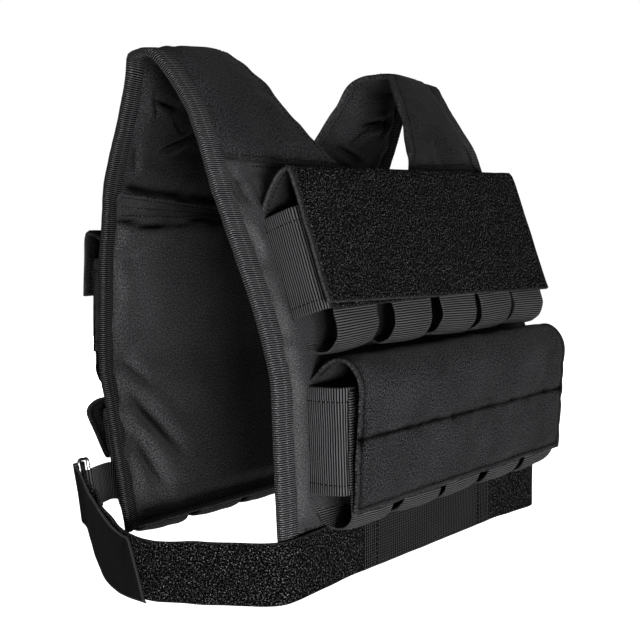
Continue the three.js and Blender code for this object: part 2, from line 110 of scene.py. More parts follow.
def gridNormals(grid):
    along = np.gradient(grid, axis=0)
    across = np.gradient(grid, axis=1)
    return unit(np.cross(across, along))


def softStep(value, low, high):
    t = np.clip((value - low) / (high - low), 0, 1)
    return t * t * (3 - 2 * t)


def mirrorGrid(grid):
    return (grid * np.array([-1, 1, 1]))[:, ::-1]


def spread(down, over):
    # two measures for each point of a grid: one runs down its rows, one over its columns
    return np.stack(np.meshgrid(down, over, indexing="ij"), axis=-1)


def byRow(values, like):
    # one value for each row of a grid
    return np.broadcast_to(np.asarray(values)[:, None], like.shape[:2])


def byColumn(values, like):
    return np.broadcast_to(values, like.shape[:2])


def noiseGrid(down, over, third):
    return np.array([[noise.noise(Vector((d, o, third))) for o in over] for d in down])


def sideName(right):
    return "Right" if right else "Left"


def lumps(points, size, seed, octaves=3):
    # smooth noise for each point, size in millimetres
    shift = Vector((seed * 17.3, seed * 5.1, seed * 9.7))
    flat = points.reshape(-1, 3)
    values = [noise.fractal(Vector(p) / size + shift, 0.6, 2.0, octaves) for p in flat]
    return np.array(values).reshape(points.shape[:-1])


# meshes

def addObject(name, data):
    made = bpy.data.objects.new(name, data)
    bpy.context.scene.collection.objects.link(made)
    return made


def addMeasure(mesh, name, values):
    # one number for each point, which a material can read
    layer = mesh.attributes.new(name, "FLOAT", "POINT")
    layer.data.foreach_set("value", np.asarray(values, float).ravel())


def makePiece(name, verts, faces, uv, material, attributes=None):
    mesh = bpy.data.meshes.new(name)
    mesh.from_pydata((np.asarray(verts) * mm).tolist(), [], faces)
    layer = mesh.uv_layers.new(name="cloth")
    corners = np.empty(len(mesh.loops), dtype=np.int32)
    mesh.loops.foreach_get("vertex_index", corners)
    layer.data.foreach_set("uv", (np.asarray(uv)[corners] * mm).ravel())
    for key, values in (attributes or {}).items():
        addMeasure(mesh, key, values)
    mesh.polygons.foreach_set("use_smooth", [True] * len(mesh.polygons))
    mesh.materials.append(material)
    return addObject(name, mesh)


def clothWall(name, middle, thick, uv, material, bulge, normals=None, fold=None):
    # closed wall of cloth about a grid on its middle surface: outside first, then inside, then the rim
    rows, columns = middle.shape[:2]
    if normals is None:
        normals = gridNormals(middle)
    thick = np.broadcast_to(thick, (rows, columns))
    outside = middle + normals * (thick / 2)[..., None]
    inside = middle - normals * (thick / 2)[..., None]
    count = rows * columns
    index = np.arange(count).reshape(rows, columns)
    corners = [index[:-1, :-1], index[:-1, 1:], index[1:, 1:], index[1:, :-1]]
    quads = np.stack(corners, axis=-1).reshape(-1, 4)
    edge = np.concatenate([index[0, :], index[1:, -1], index[-1, -2::-1], index[-2:0:-1, 0]])
    flat = middle.reshape(-1, 3)
    flatNormal = normals.reshape(-1, 3)
    flatThick = thick.reshape(-1)
    travel = unit(np.roll(flat[edge], -1, axis=0) - np.roll(flat[edge], 1, axis=0))
    outward = unit(np.cross(travel, flatNormal[edge]))
    rimPoints = flat[edge] + outward * (flatThick[edge] * bulge)[:, None]
    rim = 2 * count + np.arange(len(edge))
    nextEdge, nextRim = np.roll(edge, -1), np.roll(rim, -1)
    faces = quads.tolist() + (quads[:, ::-1] + count).tolist()
    faces += np.stack([nextEdge, edge, rim, nextRim], axis=-1).tolist()
    faces += np.stack([nextRim, rim, edge + count, nextEdge + count], axis=-1).tolist()
    verts = np.vstack([outside.reshape(-1, 3), inside.reshape(-1, 3), rimPoints])
    flatUv = np.asarray(uv).reshape(-1, 2)
    allUv = np.vstack([flatUv, flatUv, flatUv[edge]])
    fromRim = distanceToRim(middle)
    attributes = {"rimDistance": np.concatenate([fromRim, fromRim, np.zeros(len(edge))])}
    # fold holds the painted shade of the outside and the inside faces
    if fold is not None:
        outFold, inFold = (face.reshape(-1) for face in fold)
        attributes["fold"] = np.concatenate([outFold, inFold, outFold[edge]])
    return makePiece(name, verts, faces, allUv, material, attributes)


def distanceToRim(middle):
    # how far each grid point is from the piece's own edge, in millimetres
    alongRows = np.linalg.norm(np.diff(middle, axis=0), axis=2)
    alongColumns = np.linalg.norm(np.diff(middle, axis=1), axis=2)
    down = np.vstack([np.zeros((1, middle.shape[1])), np.cumsum(alongRows, axis=0)])
    over = np.hstack([np.zeros((middle.shape[0], 1)), np.cumsum(alongColumns, axis=1)])
    nearest = np.minimum(np.minimum(down, down[-1:] - down), np.minimum(over, over[:, -1:] - over))
    return nearest.reshape(-1)


def readPoints(piece):
    values = np.empty(len(piece.data.vertices) * 3)
    piece.data.vertices.foreach_get("co", values)
    return values.reshape(-1, 3)


def writePoints(piece, points):
    piece.data.vertices.foreach_set("co", np.asarray(points).ravel())
    piece.data.update()


def shadeFolds(piece, outside, inside):
    # painted shade: how deep in a fold each point lies, from 0 to 1, for the cloth to darken there as if in
    # shadow
    rim = len(piece.data.vertices) - 2 * len(outside)
    values = np.concatenate([outside, inside, np.zeros(rim)])
    addMeasure(piece.data, "fold", np.clip(values, 0, 1))


def refine(piece, levels=1):
    # splits each face into four, smoothly; the first points stay the first ones
    finer = piece.modifiers.new("finer", "SUBSURF")
    finer.levels = finer.render_levels = levels
    finer.boundary_smooth = "PRESERVE_CORNERS"
    shown = piece.evaluated_get(bpy.context.evaluated_depsgraph_get())
    made = bpy.data.meshes.new_from_object(shown)
    piece.modifiers.remove(finer)
    piece.data = made


def settle(piece, node, slot):
    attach(piece, "root")
    for name in ([node] if isinstance(node, str) else node):
        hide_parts(name)
    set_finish(piece, slot)


puffing = {"quality": 5, "mass": 0.15}


def puff(piece, held, recipe, rimHeld=True):
    # swells a padded piece between the points where it is sewn down, and keeps the result
    scene = bpy.context.scene
    start = readPoints(piece)
    rim = np.full(len(start) - 2 * held.size, rimHeld)
    pinned = np.concatenate([held.ravel(), held.ravel(), rim])
    group = piece.vertex_groups.new(name="held")
    group.add(np.flatnonzero(pinned).tolist(), 1.0, "REPLACE")
    cloth = piece.modifiers.new("puff", "CLOTH")
    weave = cloth.settings
    weave.quality = puffing["quality"]
    weave.mass = puffing["mass"]
    weave.vertex_group_mass = "held"
    weave.tension_stiffness = recipe["stretch"]
    weave.compression_stiffness = recipe["stretch"]
    weave.shear_stiffness = recipe["stretch"] / 3
    weave.bending_stiffness = recipe["bend"]
    weave.use_pressure = True
    weave.uniform_pressure_force = recipe["pressure"]
    weave.shrink_min = -recipe["slack"]
    weave.effector_weights.gravity = 0
    cloth.collision_settings.use_collision = False
    cloth.point_cache.frame_start = 1
    cloth.point_cache.frame_end = recipe["frames"]
    for step in range(1, recipe["frames"] + 1):
        scene.frame_set(step)
    shown = piece.evaluated_get(bpy.context.evaluated_depsgraph_get())
    after = np.empty(len(start) * 3)
    shown.data.vertices.foreach_get("co", after)
    move = after.reshape(-1, 3) - start
    size = np.linalg.norm(move, axis=1, keepdims=True)
    cap = recipe["cap"] * mm
    move *= np.where(size > 0, cap * np.tanh(size / cap) / np.maximum(size, 1e-12), 0)
    piece.modifiers.remove(cloth)
    piece.vertex_groups.remove(group)
    scene.frame_set(1)
    writePoints(piece, start + move)
    print("vest: puffed", piece.name, "by up to", round(float(size.max()) * 1000, 1), "mm")


# materials

class Wire:
    # a socket of a material that takes part in sums
    def __init__(self, board, socket):
        self.board = board
        self.socket = socket

    def sum(self, operation, first, second):
        return self.board.node("ShaderNodeMath", {"operation": operation}, {0: first, 1: second})

    def __add__(self, other):
        return self.sum("ADD", self, other)

    def __radd__(self, other):
        return self.sum("ADD", other, self)

    def __sub__(self, other):
        return self.sum("SUBTRACT", self, other)

    def __rsub__(self, other):
        return self.sum("SUBTRACT", other, self)

    def __mul__(self, other):
        return self.sum("MULTIPLY", self, other)

    def __rmul__(self, other):
        return self.sum("MULTIPLY", other, self)


class Board:
    # one material under construction
    def __init__(self, name):
        self.material = bpy.data.materials.new(name)
        self.material.use_nodes = True
        self.tree = self.material.node_tree
        self.tree.nodes.clear()

    def node(self, kind, settings=None, sockets=None, out=0):
        made = self.tree.nodes.new(kind)
        for key, value in (settings or {}).items():
            setattr(made, key, value)
        for key, value in (sockets or {}).items():
            if isinstance(value, Wire):
                self.tree.links.new(value.socket, made.inputs[key])
            else:
                made.inputs[key].default_value = value
        return Wire(self, made.outputs[out])

    def clothPlace(self):
        return self.node("ShaderNodeUVMap", {"uv_map": "cloth"})

    def objectPlace(self):
        return self.node("ShaderNodeTexCoord", None, None, 3)

    def measure(self, name):
        # the number that the mesh holds at each point
        return self.node("ShaderNodeAttribute", {"attribute_name": name}, None, 2)

    def size(self, value):
        return self.node("ShaderNodeMath", {"operation": "ABSOLUTE"}, {0: value})

    def split(self, place):
        return [self.node("ShaderNodeSeparateXYZ", None, {0: place}, out) for out in range(3)]

    def grain(self, place, scale, detail=2.0, roughness=0.5, stretch=None):
        if stretch:
            place = self.node("ShaderNodeMapping", None, {"Vector": place, "Scale": stretch})
        settings = {"noise_dimensions": "3D"}
        sockets = {"Vector": place, "Scale": scale, "Detail": detail, "Roughness": roughness}
        return self.node("ShaderNodeTexNoise", settings, sockets)

    def wave(self, value, pitch):
        # 0 to 1 along a value in metres, one crest for each pitch
        turned = self.node("ShaderNodeMath", {"operation": "SINE"}, {0: value * (2 * math.pi / pitch)})
        return turned * 0.5 + 0.5

    def clip(self, value, low, high):
        settings = {"interpolation_type": "SMOOTHSTEP"}
        sockets = {"Value": value, "From Min": low, "From Max": high, "To Min": 0.0, "To Max": 1.0}
        return self.node("ShaderNodeMapRange", settings, sockets)

    def mix(self, factor, first, second):
        tone = lambda c: c if isinstance(c, Wire) else (*c, 1.0)
        sockets = {0: factor, 6: tone(first), 7: tone(second)}
        return self.node("ShaderNodeMix", {"data_type": "RGBA"}, sockets, 2)

    def shine(self, colour, rough, others):
        sockets = {"Base Color": colour, "Roughness": rough, **others}
        return self.node("ShaderNodeBsdfPrincipled", None, sockets)

    def finish(self, colour, rough, height, relief, fixed, paintedShade=None):
        # relief is the height of the bumps in millimetres; the last argument is the share of painted shade,
        # mixed in as a dark matte surface where creases and hollows should lie in shadow
        bump = self.node("ShaderNodeBump", None, {"Height": height, "Distance": relief * mm, "Strength": 1.0})
        surface = self.shine(colour, rough, {"Normal": bump, **fixed})
        if paintedShade is not None:
            shadow = self.shine(deepShadow, 1.0, {"Specular IOR Level": 0.0})
            surface = self.node("ShaderNodeMixShader", None, {0: paintedShade, 1: surface, 2: shadow})
        output = self.tree.nodes.new("ShaderNodeOutputMaterial")
        self.tree.links.new(surface.socket, output.inputs["Surface"])
        return self.material


# deepShadow is the colour of that painted shade
deepShadow = (0.0008, 0.0008, 0.0008, 1.0)

# pitches, edges and relief are in millimetres; specks, clouds, crumples and fuzz are grains per metre
nylon = {
    "dark": (0.001, 0.001, 0.0012),
    "light": (0.072, 0.072, 0.076),
    "worn": (0.07, 0.07, 0.074),
    "gloss": 0.22,
    "rough": 0.5,
    "sheen": 0.03,
    "pitch": 0.62,
    "specks": 760,
    "clouds": 22,
    "crumples": 75,
    "cut": (0.43, 0.62),
    "wornEdge": 3.5,
    "relief": 0.35,
}


def makeNylon(name, recipe):
    board = Board(name)
    place = board.clothPlace()
    u, v, _ = board.split(place)
    pitch = recipe["pitch"] * mm
    weave = board.wave(u, pitch) * board.wave(v, pitch) + board.wave(u + v, pitch * 2) * 0.4
    specks = board.grain(place, recipe["specks"], 3.0, 0.8)
    clouds = board.grain(place, recipe["clouds"], 3.0, 0.55)
    crumples = board.grain(place, recipe["crumples"], 3.0, 0.5)
    edge = 1 - board.clip(board.measure("rimDistance"), 0.0, recipe["wornEdge"])
    worn = edge * board.clip(specks, 0.35, 0.75) * 0.5
    shade = board.clip(clouds * 0.08 + specks * 0.92, *recipe["cut"])
    colour = board.mix(shade, recipe["dark"], recipe["light"])
    colour = board.mix(worn, colour, recipe["worn"])
    rough = recipe["rough"] + clouds * 0.16 - weave * 0.05
    height = weave * 0.25 + specks * 0.7 + crumples * 1.2
    fixed = {"Sheen Weight": recipe["sheen"], "Sheen Roughness": 0.4, "Specular IOR Level": recipe["gloss"]}
    # painted shade: the fold attribute darkens creases, seams and hems
    paintedShade = board.clip(board.measure("fold"), 0.05, 1.0)
    return board.finish(colour, rough, height, recipe["relief"], fixed, paintedShade)


webbing = {
    "valley": (0.002, 0.002, 0.002),
    "crest": (0.135, 0.135, 0.14),
    "worn": (0.12, 0.12, 0.125),
    "gloss": 0.2,
    "rough": 0.52,
    "sheen": 0.02,
    "ribPitch": 1.9,
    "ribWander": 0.5,
    "yarnPitch": 1.05,
    "yarnShare": 0.28,
    "fuzz": 1100,
    "clouds": 30,
    "edge": (0.2, 1.6),
    "edgeLine": 0.0,
    "paintedShade": 0.7,
    "relief": 0.6,
}


def makeWebbing(name, recipe):
    # ribs cross the tape: u runs along it, v across it
    board = Board(name)
    place = board.clothPlace()
    u, v, _ = board.split(place)
    wander = board.grain(place, 90, 2.0) * (recipe["ribWander"] * mm)
    rib = board.wave(u + wander, recipe["ribPitch"] * mm)
    yarn = board.wave(v, recipe["yarnPitch"] * mm)
    fuzz = board.grain(place, recipe["fuzz"], 2.0, 0.65)
    clouds = board.grain(place, recipe["clouds"], 2.0)
    crest = board.clip(rib, 0.25, 0.95)
    raised = crest * (1 - recipe["yarnShare"] + yarn * recipe["yarnShare"])
    edge = 1 - board.clip(board.measure("rimDistance"), *recipe["edge"])
    # painted shade: the valley colour and the dark mix below darken the hollows between the ribs, so the
    # lighter crests stand out
    colour = board.mix(raised * (0.7 + clouds * 0.5), recipe["valley"], recipe["crest"])
    # the tail's lighter rim is painted highlight along its edges, together with its paler cut end; edgeLine
    # is 0 on the other webbing
    colour = board.mix(edge * recipe["edgeLine"], colour, recipe["worn"])
    rough = recipe["rough"] + fuzz * 0.2
    height = raised * 0.85 + fuzz * 0.3
    fixed = {"Specular IOR Level": recipe["gloss"], "Sheen Weight": recipe["sheen"]}
    paintedShade = (1 - board.clip(rib, 0.05, 0.45)) * recipe["paintedShade"]
    return board.finish(colour, rough, height, recipe["relief"], fixed, paintedShade)


pile = {
    "deep": (0.001, 0.001, 0.001),
    "loop": (0.24, 0.24, 0.25),
    "edge": (0.06, 0.06, 0.064),
    "gloss": 0.06,
    "rough": 0.92,
    "sheen": 0.01,
    "size": 1.35,
    "patches": 60,
    "cut": (0.48, 0.63),
    "cutEdge": 0.9,
    "paintedShade": 0.7,
    "relief": 1.1,
}


def makePile(name, recipe):
    board = Board(name)
    place = board.clothPlace()
    density = 1 / (recipe["size"] * mm)
    cell = board.node("ShaderNodeTexVoronoi", {"feature": "F1"}, {"Vector": place, "Scale": density})
    wild = board.grain(place, density, 2.0, 0.6)
    patch = board.grain(place, recipe["patches"], 2.0, 0.5)
    tuft = board.clip(wild, *recipe["cut"]) * (1 - board.clip(cell, 0.2, 0.7) * 0.7)
    cutEdge = 1 - board.clip(board.measure("rimDistance"), 0.0, recipe["cutEdge"])
    # painted shade: the deep colour and the dark mix fill the hollows between the loops
    colour = board.mix(tuft * (0.6 + patch * 0.6), recipe["deep"], recipe["loop"])
    colour = board.mix(cutEdge * 0.8, colour, recipe["edge"])
    fixed = {"Specular IOR Level": recipe["gloss"], "Sheen Weight": recipe["sheen"]}
    paintedShade = (1 - tuft) * recipe["paintedShade"]
    return board.finish(colour, recipe["rough"], tuft + wild * 0.4, recipe["relief"], fixed, paintedShade)


binding = {
    "valley": (0.002, 0.002, 0.002),
    "crest": (0.13, 0.13, 0.136),
    "thread": (0.24, 0.24, 0.25),
    "gloss": 0.15,
    "rough": 0.6,
    "sheen": 0.02,
    "ribPitch": 1.6,
    "yarnPitch": 1.5,
    "fuzz": 1000,
    "threadLines": (2.4, 9.8),
    "threadHalf": (0.4, 1.2),
    "swing": 1.5,
    "breaks": 420,
    "relief": 0.6,
}


def makeBinding(name, recipe):
    # v is the distance from the outer fold, so the two rows of zigzag keep their place
    board = Board(name)
    place = board.clothPlace()
    u, v, _ = board.split(place)
    rib = board.clip(board.wave(u, recipe["ribPitch"] * mm), 0.3, 0.9)
    yarn = board.wave(v, recipe["yarnPitch"] * mm)
    fuzz = board.grain(place, recipe["fuzz"], 2.0, 0.65)
    swing = (board.wave(u, recipe["ribPitch"] * 2 * mm) - 0.5) * (recipe["swing"] * mm)
    fromFold = board.size(v) + swing
    thin, wide = (half * mm for half in recipe["threadHalf"])
    stripes = [1 - board.clip(board.size(fromFold - line * mm), thin, wide) for line in recipe["threadLines"]]
    lines = stripes[0] + stripes[1]
    raised = rib * (0.6 + yarn * 0.4)
    # painted shade: the valley colour and the dark mix darken the hollows between the ribs
    colour = board.mix(raised, recipe["valley"], recipe["crest"])
    broken = board.clip(board.grain(place, recipe["breaks"], 2.0, 0.7), 0.35, 0.6)
    colour = board.mix(lines * rib * broken, colour, recipe["thread"])
    height = raised * 0.8 + lines * 0.5 + fuzz * 0.3
    fixed = {"Specular IOR Level": recipe["gloss"], "Sheen Weight": recipe["sheen"]}
    # the fold attribute adds painted shade along the back part of the binding
    paintedShade = (1 - board.clip(rib, 0.0, 0.5)) * 0.75 + board.measure("fold") * 0.5
    return board.finish(colour, recipe["rough"] + fuzz * 0.2, height, recipe["relief"], fixed, paintedShade)


# near-black thread: its own black colour, made darker than the cloth as painted shade in the sunken stitch
# holes
thread = {"dark": (0.001, 0.001, 0.001), "light": (0.004, 0.004, 0.004), "twist": 1500, "relief": 0.1}


def makeThread(name, recipe):
    board = Board(name)
    twist = board.grain(board.objectPlace(), recipe["twist"], 1.0)
    colour = board.mix(twist, recipe["dark"], recipe["light"])
    return board.finish(colour, 0.9, twist, recipe["relief"], {"Specular IOR Level": 0.05})


steel = {"light": (0.82, 0.82, 0.83), "dull": (0.55, 0.55, 0.57), "scratches": 300, "relief": 0.05}


def makeSteel(name, recipe):
    board = Board(name)
    scratches = board.grain(board.objectPlace(), recipe["scratches"], 4.0, 0.7, (1.0, 1.0, 0.15))
    colour = board.mix(board.clip(scratches, 0.35, 0.7), recipe["light"], recipe["dull"])
    return board.finish(colour, 0.22 + scratches * 0.18, scratches, recipe["relief"], {"Metallic": 1.0})


# painted light and shade: the same body nylon as a lighter copy for the front panel, which faces the key
# light, and a darker copy for the straps, whose tops turn away from it
chestPaintedLight = {**nylon, "light": (0.09, 0.09, 0.095), "gloss": 0.34, "rough": 0.42, "specks": 980}
strapPaintedShade = {**nylon, "light": (0.045, 0.045, 0.048), "gloss": 0.14}
lining = {**nylon, "rough": 0.56, "light": (0.058, 0.058, 0.062)}
flapCloth = {**nylon, "rough": 0.66, "gloss": 0.05, "light": (0.075, 0.075, 0.079), "cut": (0.445, 0.625),
             "specks": 860}
smooth = {**webbing, "ribPitch": 1.3, "yarnPitch": 0.9, "crest": (0.018, 0.018, 0.0195), "edgeLine": 0.6,
          "gloss": 0.04}
coarse = {**webbing, "ribPitch": 2.6, "yarnPitch": 2.2, "yarnShare": 0.85, "crest": (0.07, 0.07, 0.074),
          "gloss": 0.06}

nylonMatter = makeNylon("blackNylon", nylon)
chestPaintedLightMatter = makeNylon("chestNylonPaintedLight", chestPaintedLight)
strapPaintedShadeMatter = makeNylon("strapNylonPaintedShade", strapPaintedShade)
liningMatter = makeNylon("liningNylon", lining)
flapMatter = makeNylon("flapNylon", flapCloth)
webMatter = makeWebbing("ribbedWebbing", webbing)
tailMatter = makeWebbing("smoothWebbing", smooth)
coarseMatter = makeWebbing("coarseWebbing", coarse)
pileMatter = makePile("loopPile", pile)
bindingMatter = makeBinding("bindingTape", binding)
threadMatter = makeThread("sewingThread", thread)
steelMatter = makeSteel("ringSteel", steel)
print("vest: materials made")


# stitches

# pitch, length and width in millimetres; least and most are the shares by which a stitch varies
stitch = {"Pitch": 3.6, "Length": 2.6, "Width": 1.0, "seed": 7, "least": 0.82, "most": 1.08}


def makeStitchTree():
    tree = bpy.data.node_groups.new("stitchRun", "GeometryNodeTree")
    face = tree.interface
    face.new_socket("Line", in_out="INPUT", socket_type="NodeSocketGeometry")
    for label in ("Pitch", "Length", "Width"):
        length = face.new_socket(label, in_out="INPUT", socket_type="NodeSocketFloat")
        length.default_value = stitch[label] * mm
    face.new_socket("Seed", in_out="INPUT", socket_type="NodeSocketInt").default_value = stitch["seed"]
    face.new_socket("Thread", in_out="INPUT", socket_type="NodeSocketMaterial")
    face.new_socket("Stitches", in_out="OUTPUT", socket_type="NodeSocketGeometry")

    def add(kind, settings, sockets):
        made = tree.nodes.new(kind)
        for key, value in settings.items():
            setattr(made, key, value)
        for key, value in sockets.items():
            if isinstance(value, bpy.types.NodeSocket):
                tree.links.new(value, made.inputs[key])
            else:
                made.inputs[key].default_value = value
        return made.outputs

    given = add("NodeGroupInput", {}, {})
    curve = add("GeometryNodeMeshToCurve", {}, {0: given["Line"]})
    even = add("GeometryNodeResampleCurve", {"mode": "LENGTH"}, {"Curve": curve[0], "Length": given["Pitch"]})
    bead = add("GeometryNodeMeshUVSphere", {}, {"Segments": 6, "Rings": 4, "Radius": 0.5})
    size = add("ShaderNodeCombineXYZ", {}, {"X": given["Length"], "Y": given["Width"], "Z": given["Width"]})
    tangent = add("GeometryNodeInputTangent", {}, {})
    lie = add("GeometryNodeInputNamedAttribute", {"data_type": "FLOAT_VECTOR"}, {"Name": "lie"})
    alongRun = add("FunctionNodeAlignRotationToVector", {"axis": "X"}, {"Vector": tangent[0]})
    upright = add("FunctionNodeAlignRotationToVector", {"axis": "Z", "pivot_axis": "X"},
                  {"Rotation": alongRun[0], "Vector": lie[0]})
    vary = add("FunctionNodeRandomValue", {"data_type": "FLOAT"},
               {2: stitch["least"], 3: stitch["most"], "Seed": given["Seed"]})
    scaled = add("ShaderNodeVectorMath", {"operation": "SCALE"}, {0: size[0], "Scale": vary[1]})
    placed = add("GeometryNodeInstanceOnPoints", {},
                 {"Points": even[0], "Instance": bead[0], "Rotation": upright[0], "Scale": scaled[0]})
    real = add("GeometryNodeRealizeInstances", {}, {0: placed[0]})
    painted = add("GeometryNodeSetMaterial", {}, {"Geometry": real[0], "Material": given["Thread"]})
    add("NodeGroupOutput", {}, {0: painted[0]})
    return tree


stitchTree = makeStitchTree()
stitchRuns = {}


def sew(group, points, normals):
    # keeps a line of stitches, in millimetres, for its group
    stitchRuns.setdefault(group, []).append((np.asarray(points, float), np.asarray(normals, float)))


def closeStitches(group, slot):
    verts, lies, edges = [], [], []
    for points, normals in stitchRuns[group]:
        start = sum(len(part) for part in verts)
        verts.append(points)
        lies.append(normals)
        edges += [(start + k, start + k + 1) for k in range(len(points) - 1)]
    mesh = bpy.data.meshes.new(group)
    mesh.from_pydata((np.vstack(verts) * mm).tolist(), edges, [])
    mesh.attributes.new("lie", "FLOAT_VECTOR", "POINT").data.foreach_set("vector", np.vstack(lies).ravel())
    line = addObject(group, mesh)
    maker = line.modifiers.new("stitches", "NODES")
    maker.node_group = stitchTree
    values = {label: stitch[label] * mm for label in ("Pitch", "Length", "Width")}
    values.update({"Seed": stitch["seed"], "Thread": threadMatter})
    for item in stitchTree.interface.items_tree:
        if item.in_out == "INPUT" and item.name in values:
            maker[item.identifier] = values[item.name]
    shown = line.evaluated_get(bpy.context.evaluated_depsgraph_get())
    made = bpy.data.meshes.new_from_object(shown)
    made.name = group
    line.modifiers.remove(maker)
    line.data = made
    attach(line, "root")
    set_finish(line, slot)


# the body: front panel, straps, back panel, bindings

body = {
    "halfWidth": 187,
    "frontDrop": 366,
    "backDrop": 368,
    "chestReach": 112,
    "backReach": 70.5,
    "frontRoll": 2.5,
    "backRoll": 6,
    "rollWidth": 22,
    "edgeWall": 3.6,
    "frontWall": 8,
    "backWall": 7.5,
    "strapWall": 8.5,
    "neckWall": 5,
    "seamWall": 3.2,
    "hemWall": 3.4,
    "neckDip": 6,
    "dipReach": 22,
    "cell": 5.0,
    "cellShare": 0.96,
    "hemBand": 12,
    "lap": 0.4,
}
# shares of halfWidth, drop and reach. columns: outer half, drop, reach, inner half, drop, reach
frontRows = [
    [0.952, 1.000, 1.000, 0.262, 1.000, 1.000],
    [0.955, 0.943, 0.991, 0.262, 0.943, 0.991],
    [0.963, 0.716, 0.964, 0.262, 0.716, 0.964],
    [0.963, 0.656, 0.955, 0.262, 0.656, 0.955],
    [0.963, 0.590, 0.902, 0.262, 0.590, 0.902],
    [0.995, 0.322, 0.580, 0.262, 0.322, 0.580],
    [1.000, 0.273, 0.513, 0.262, 0.273, 0.545],
    [1.000, 0.215, 0.440, 0.262, 0.226, 0.570],
    [1.000, 0.180, 0.395, 0.315, 0.196, 0.509],
    [0.992, 0.145, 0.330, 0.378, 0.153, 0.411],
    [0.981, 0.107, 0.250, 0.434, 0.104, 0.312],
    [0.984, 0.063, 0.143, 0.489, 0.046, 0.179],
    [0.997, 0.027, 0.054, 0.538, 0.011, 0.080],
    [1.016, 0.000, -0.036, 0.583, -0.016, -0.027],
    [1.011, -0.003, -0.107, 0.578, -0.019, -0.110],
]
backRows = [
    [1.005, -0.002, 0.247, 0.567, -0.017, 0.315],
    [0.992, 0.003, 0.425, 0.545, 0.002, 0.575],
    [0.981, 0.040, 0.479, 0.500, 0.054, 0.685],
    [0.979, 0.094, 0.562, 0.444, 0.102, 0.767],
    [0.979, 0.148, 0.658, 0.385, 0.154, 0.850],
    [0.979, 0.210, 0.781, 0.310, 0.216, 0.932],
    [0.979, 0.272, 0.877, 0.187, 0.315, 1.000],
    [0.979, 0.353, 0.918, 0.187, 0.353, 0.950],
    [0.979, 0.431, 0.973, 0.187, 0.431, 0.973],
    [0.979, 0.639, 1.000, 0.187, 0.639, 1.000],
    [0.979, 0.740, 0.890, 0.187, 0.740, 0.890],
    [0.986, 1.000, 0.589, 0.187, 1.000, 0.589],
]
frontSeam, backSeam = 7, 21


def bodyTable():
    half = body["halfWidth"]
    lines = []
    for rows, drop, reach in ((frontRows, body["frontDrop"], -body["chestReach"]),
                              (backRows, body["backDrop"], body["backReach"])):
        for outHalf, outDrop, outReach, inHalf, inDrop, inReach in rows:
            lines.append([-outHalf * half, outReach * reach, -outDrop * drop,
                          -inHalf * half, inReach * reach, -inDrop * drop])
    return np.array(lines)


bodyLines = bodyTable()
bodyAt = runLength(bodyLines[:, :3])
seamAt = {"front": bodyAt[frontSeam], "back": bodyAt[backSeam], "end": bodyAt[-1]}


# columns of points near an edge, measured from it
edgeZone = np.array([0, 1.6, 3.6, 6.2, 9.2, 12.5, 16.5, 22])


def bodyEdges(at):
    both = smoothRun(bodyAt, bodyLines, at)
    return both[:, :3], both[:, 3:]


def rollRise(distance):
    # how far the wall has rolled over from its edge, from 0 to 1
    return 1 - (1 - np.clip(distance / body["rollWidth"], 0, 1)) ** 2


def panelGrid(front):
    # a whole panel: middle surface, distance from the armhole edge, place along the body
    low, high = (0, seamAt["front"]) if front else (seamAt["back"], seamAt["end"])
    trim = -body["lap"]
    count = int((high - low) / body["cell"])
    at = np.linspace(low + (0 if front else trim), high - (trim if front else 0), count + 1)
    outer, inner = bodyEdges(at)
    side, roll = (-1, body["frontRoll"]) if front else (1, body["backRoll"])
    fromSeam = (high - at) if front else (at - low)
    dips = body["neckDip"] * np.clip(1 - fromSeam / body["dipReach"], 0, 1) ** 1.5
    rows, distances = [], []
    inColumns = int((body["halfWidth"] * body["cellShare"] - body["rollWidth"]) / body["cell"])
    for k in range(len(at)):
        span = np.linalg.norm(inner[k] - outer[k])
        total = span + abs(inner[k][0])
        d = np.concatenate([edgeZone, np.linspace(body["rollWidth"], total, inColumns + 1)[1:]])
        share = np.clip(d / span, 0, 1)[:, None]
        points = outer[k] + (inner[k] - outer[k]) * share
        past = np.clip(d - span, 0, None)
        points[:, 0] += past
        points[:, 2] -= dips[k] * np.clip(1 - (np.clip(total - d, 0, None) / abs(inner[k][0])) ** 2, 0, 1)
        points[:, 1] += side * roll * rollRise(d)
        half = mirrorGrid(points[None])[0][1:]
        rows.append(np.vstack([points, half]))
        distances.append(np.concatenate([d, d[::-1][1:]]))
    return np.array(rows), np.array(distances), at, fromSeam


def strapGrid(right):
    count = int((seamAt["back"] - seamAt["front"]) / body["cell"])
    at = np.linspace(seamAt["front"] - body["lap"], seamAt["back"] + body["lap"], count + 1)
    outer, inner = bodyEdges(at)
    spans = np.linalg.norm(inner - outer, axis=1)
    inColumns = int((spans.mean() - body["rollWidth"]) / body["cell"])
    rows, distances = [], []
    for k in range(len(at)):
        middles = np.linspace(body["rollWidth"], spans[k] - 2.5, inColumns + 1)[1:]
        d = np.concatenate([edgeZone, middles, [spans[k]]])
        share = (d / spans[k])[:, None]
        rows.append(outer[k] + (inner[k] - outer[k]) * share)
        distances.append(d)
    grid, distances = np.array(rows), np.array(distances)
    fromNeck = spans[:, None] - distances
    if not right:
        grid, distances, fromNeck = mirrorGrid(grid), distances[:, ::-1], fromNeck[:, ::-1]
    return grid, distances, fromNeck, at


def groove(value, centre, width):
    return np.exp(-((value - centre) / width) ** 2)


def thinned(thick, wall, least, zone):
    # the wall where it thins toward an edge or a seam; zone is 1 away from it
    return wall + (thick - wall) * (least + (1 - least) * zone)


def deepest(*shades):
    return np.maximum.reduce(shades)


# ridge and shade in shares of a fold's half width; fullShade is the depth that darkens it fully, and
# reach the height above the fold's line that it still moves
foldShape = {"ridgeAt": 2.4, "ridgeWidth": 1.3, "shadeWidth": 0.7, "fullShade": 3, "darkest": 0.95,
             "reach": 9}


def nearestTo(face, point):
    return int(np.argmin(np.linalg.norm(face - np.array(point, float), axis=1)))


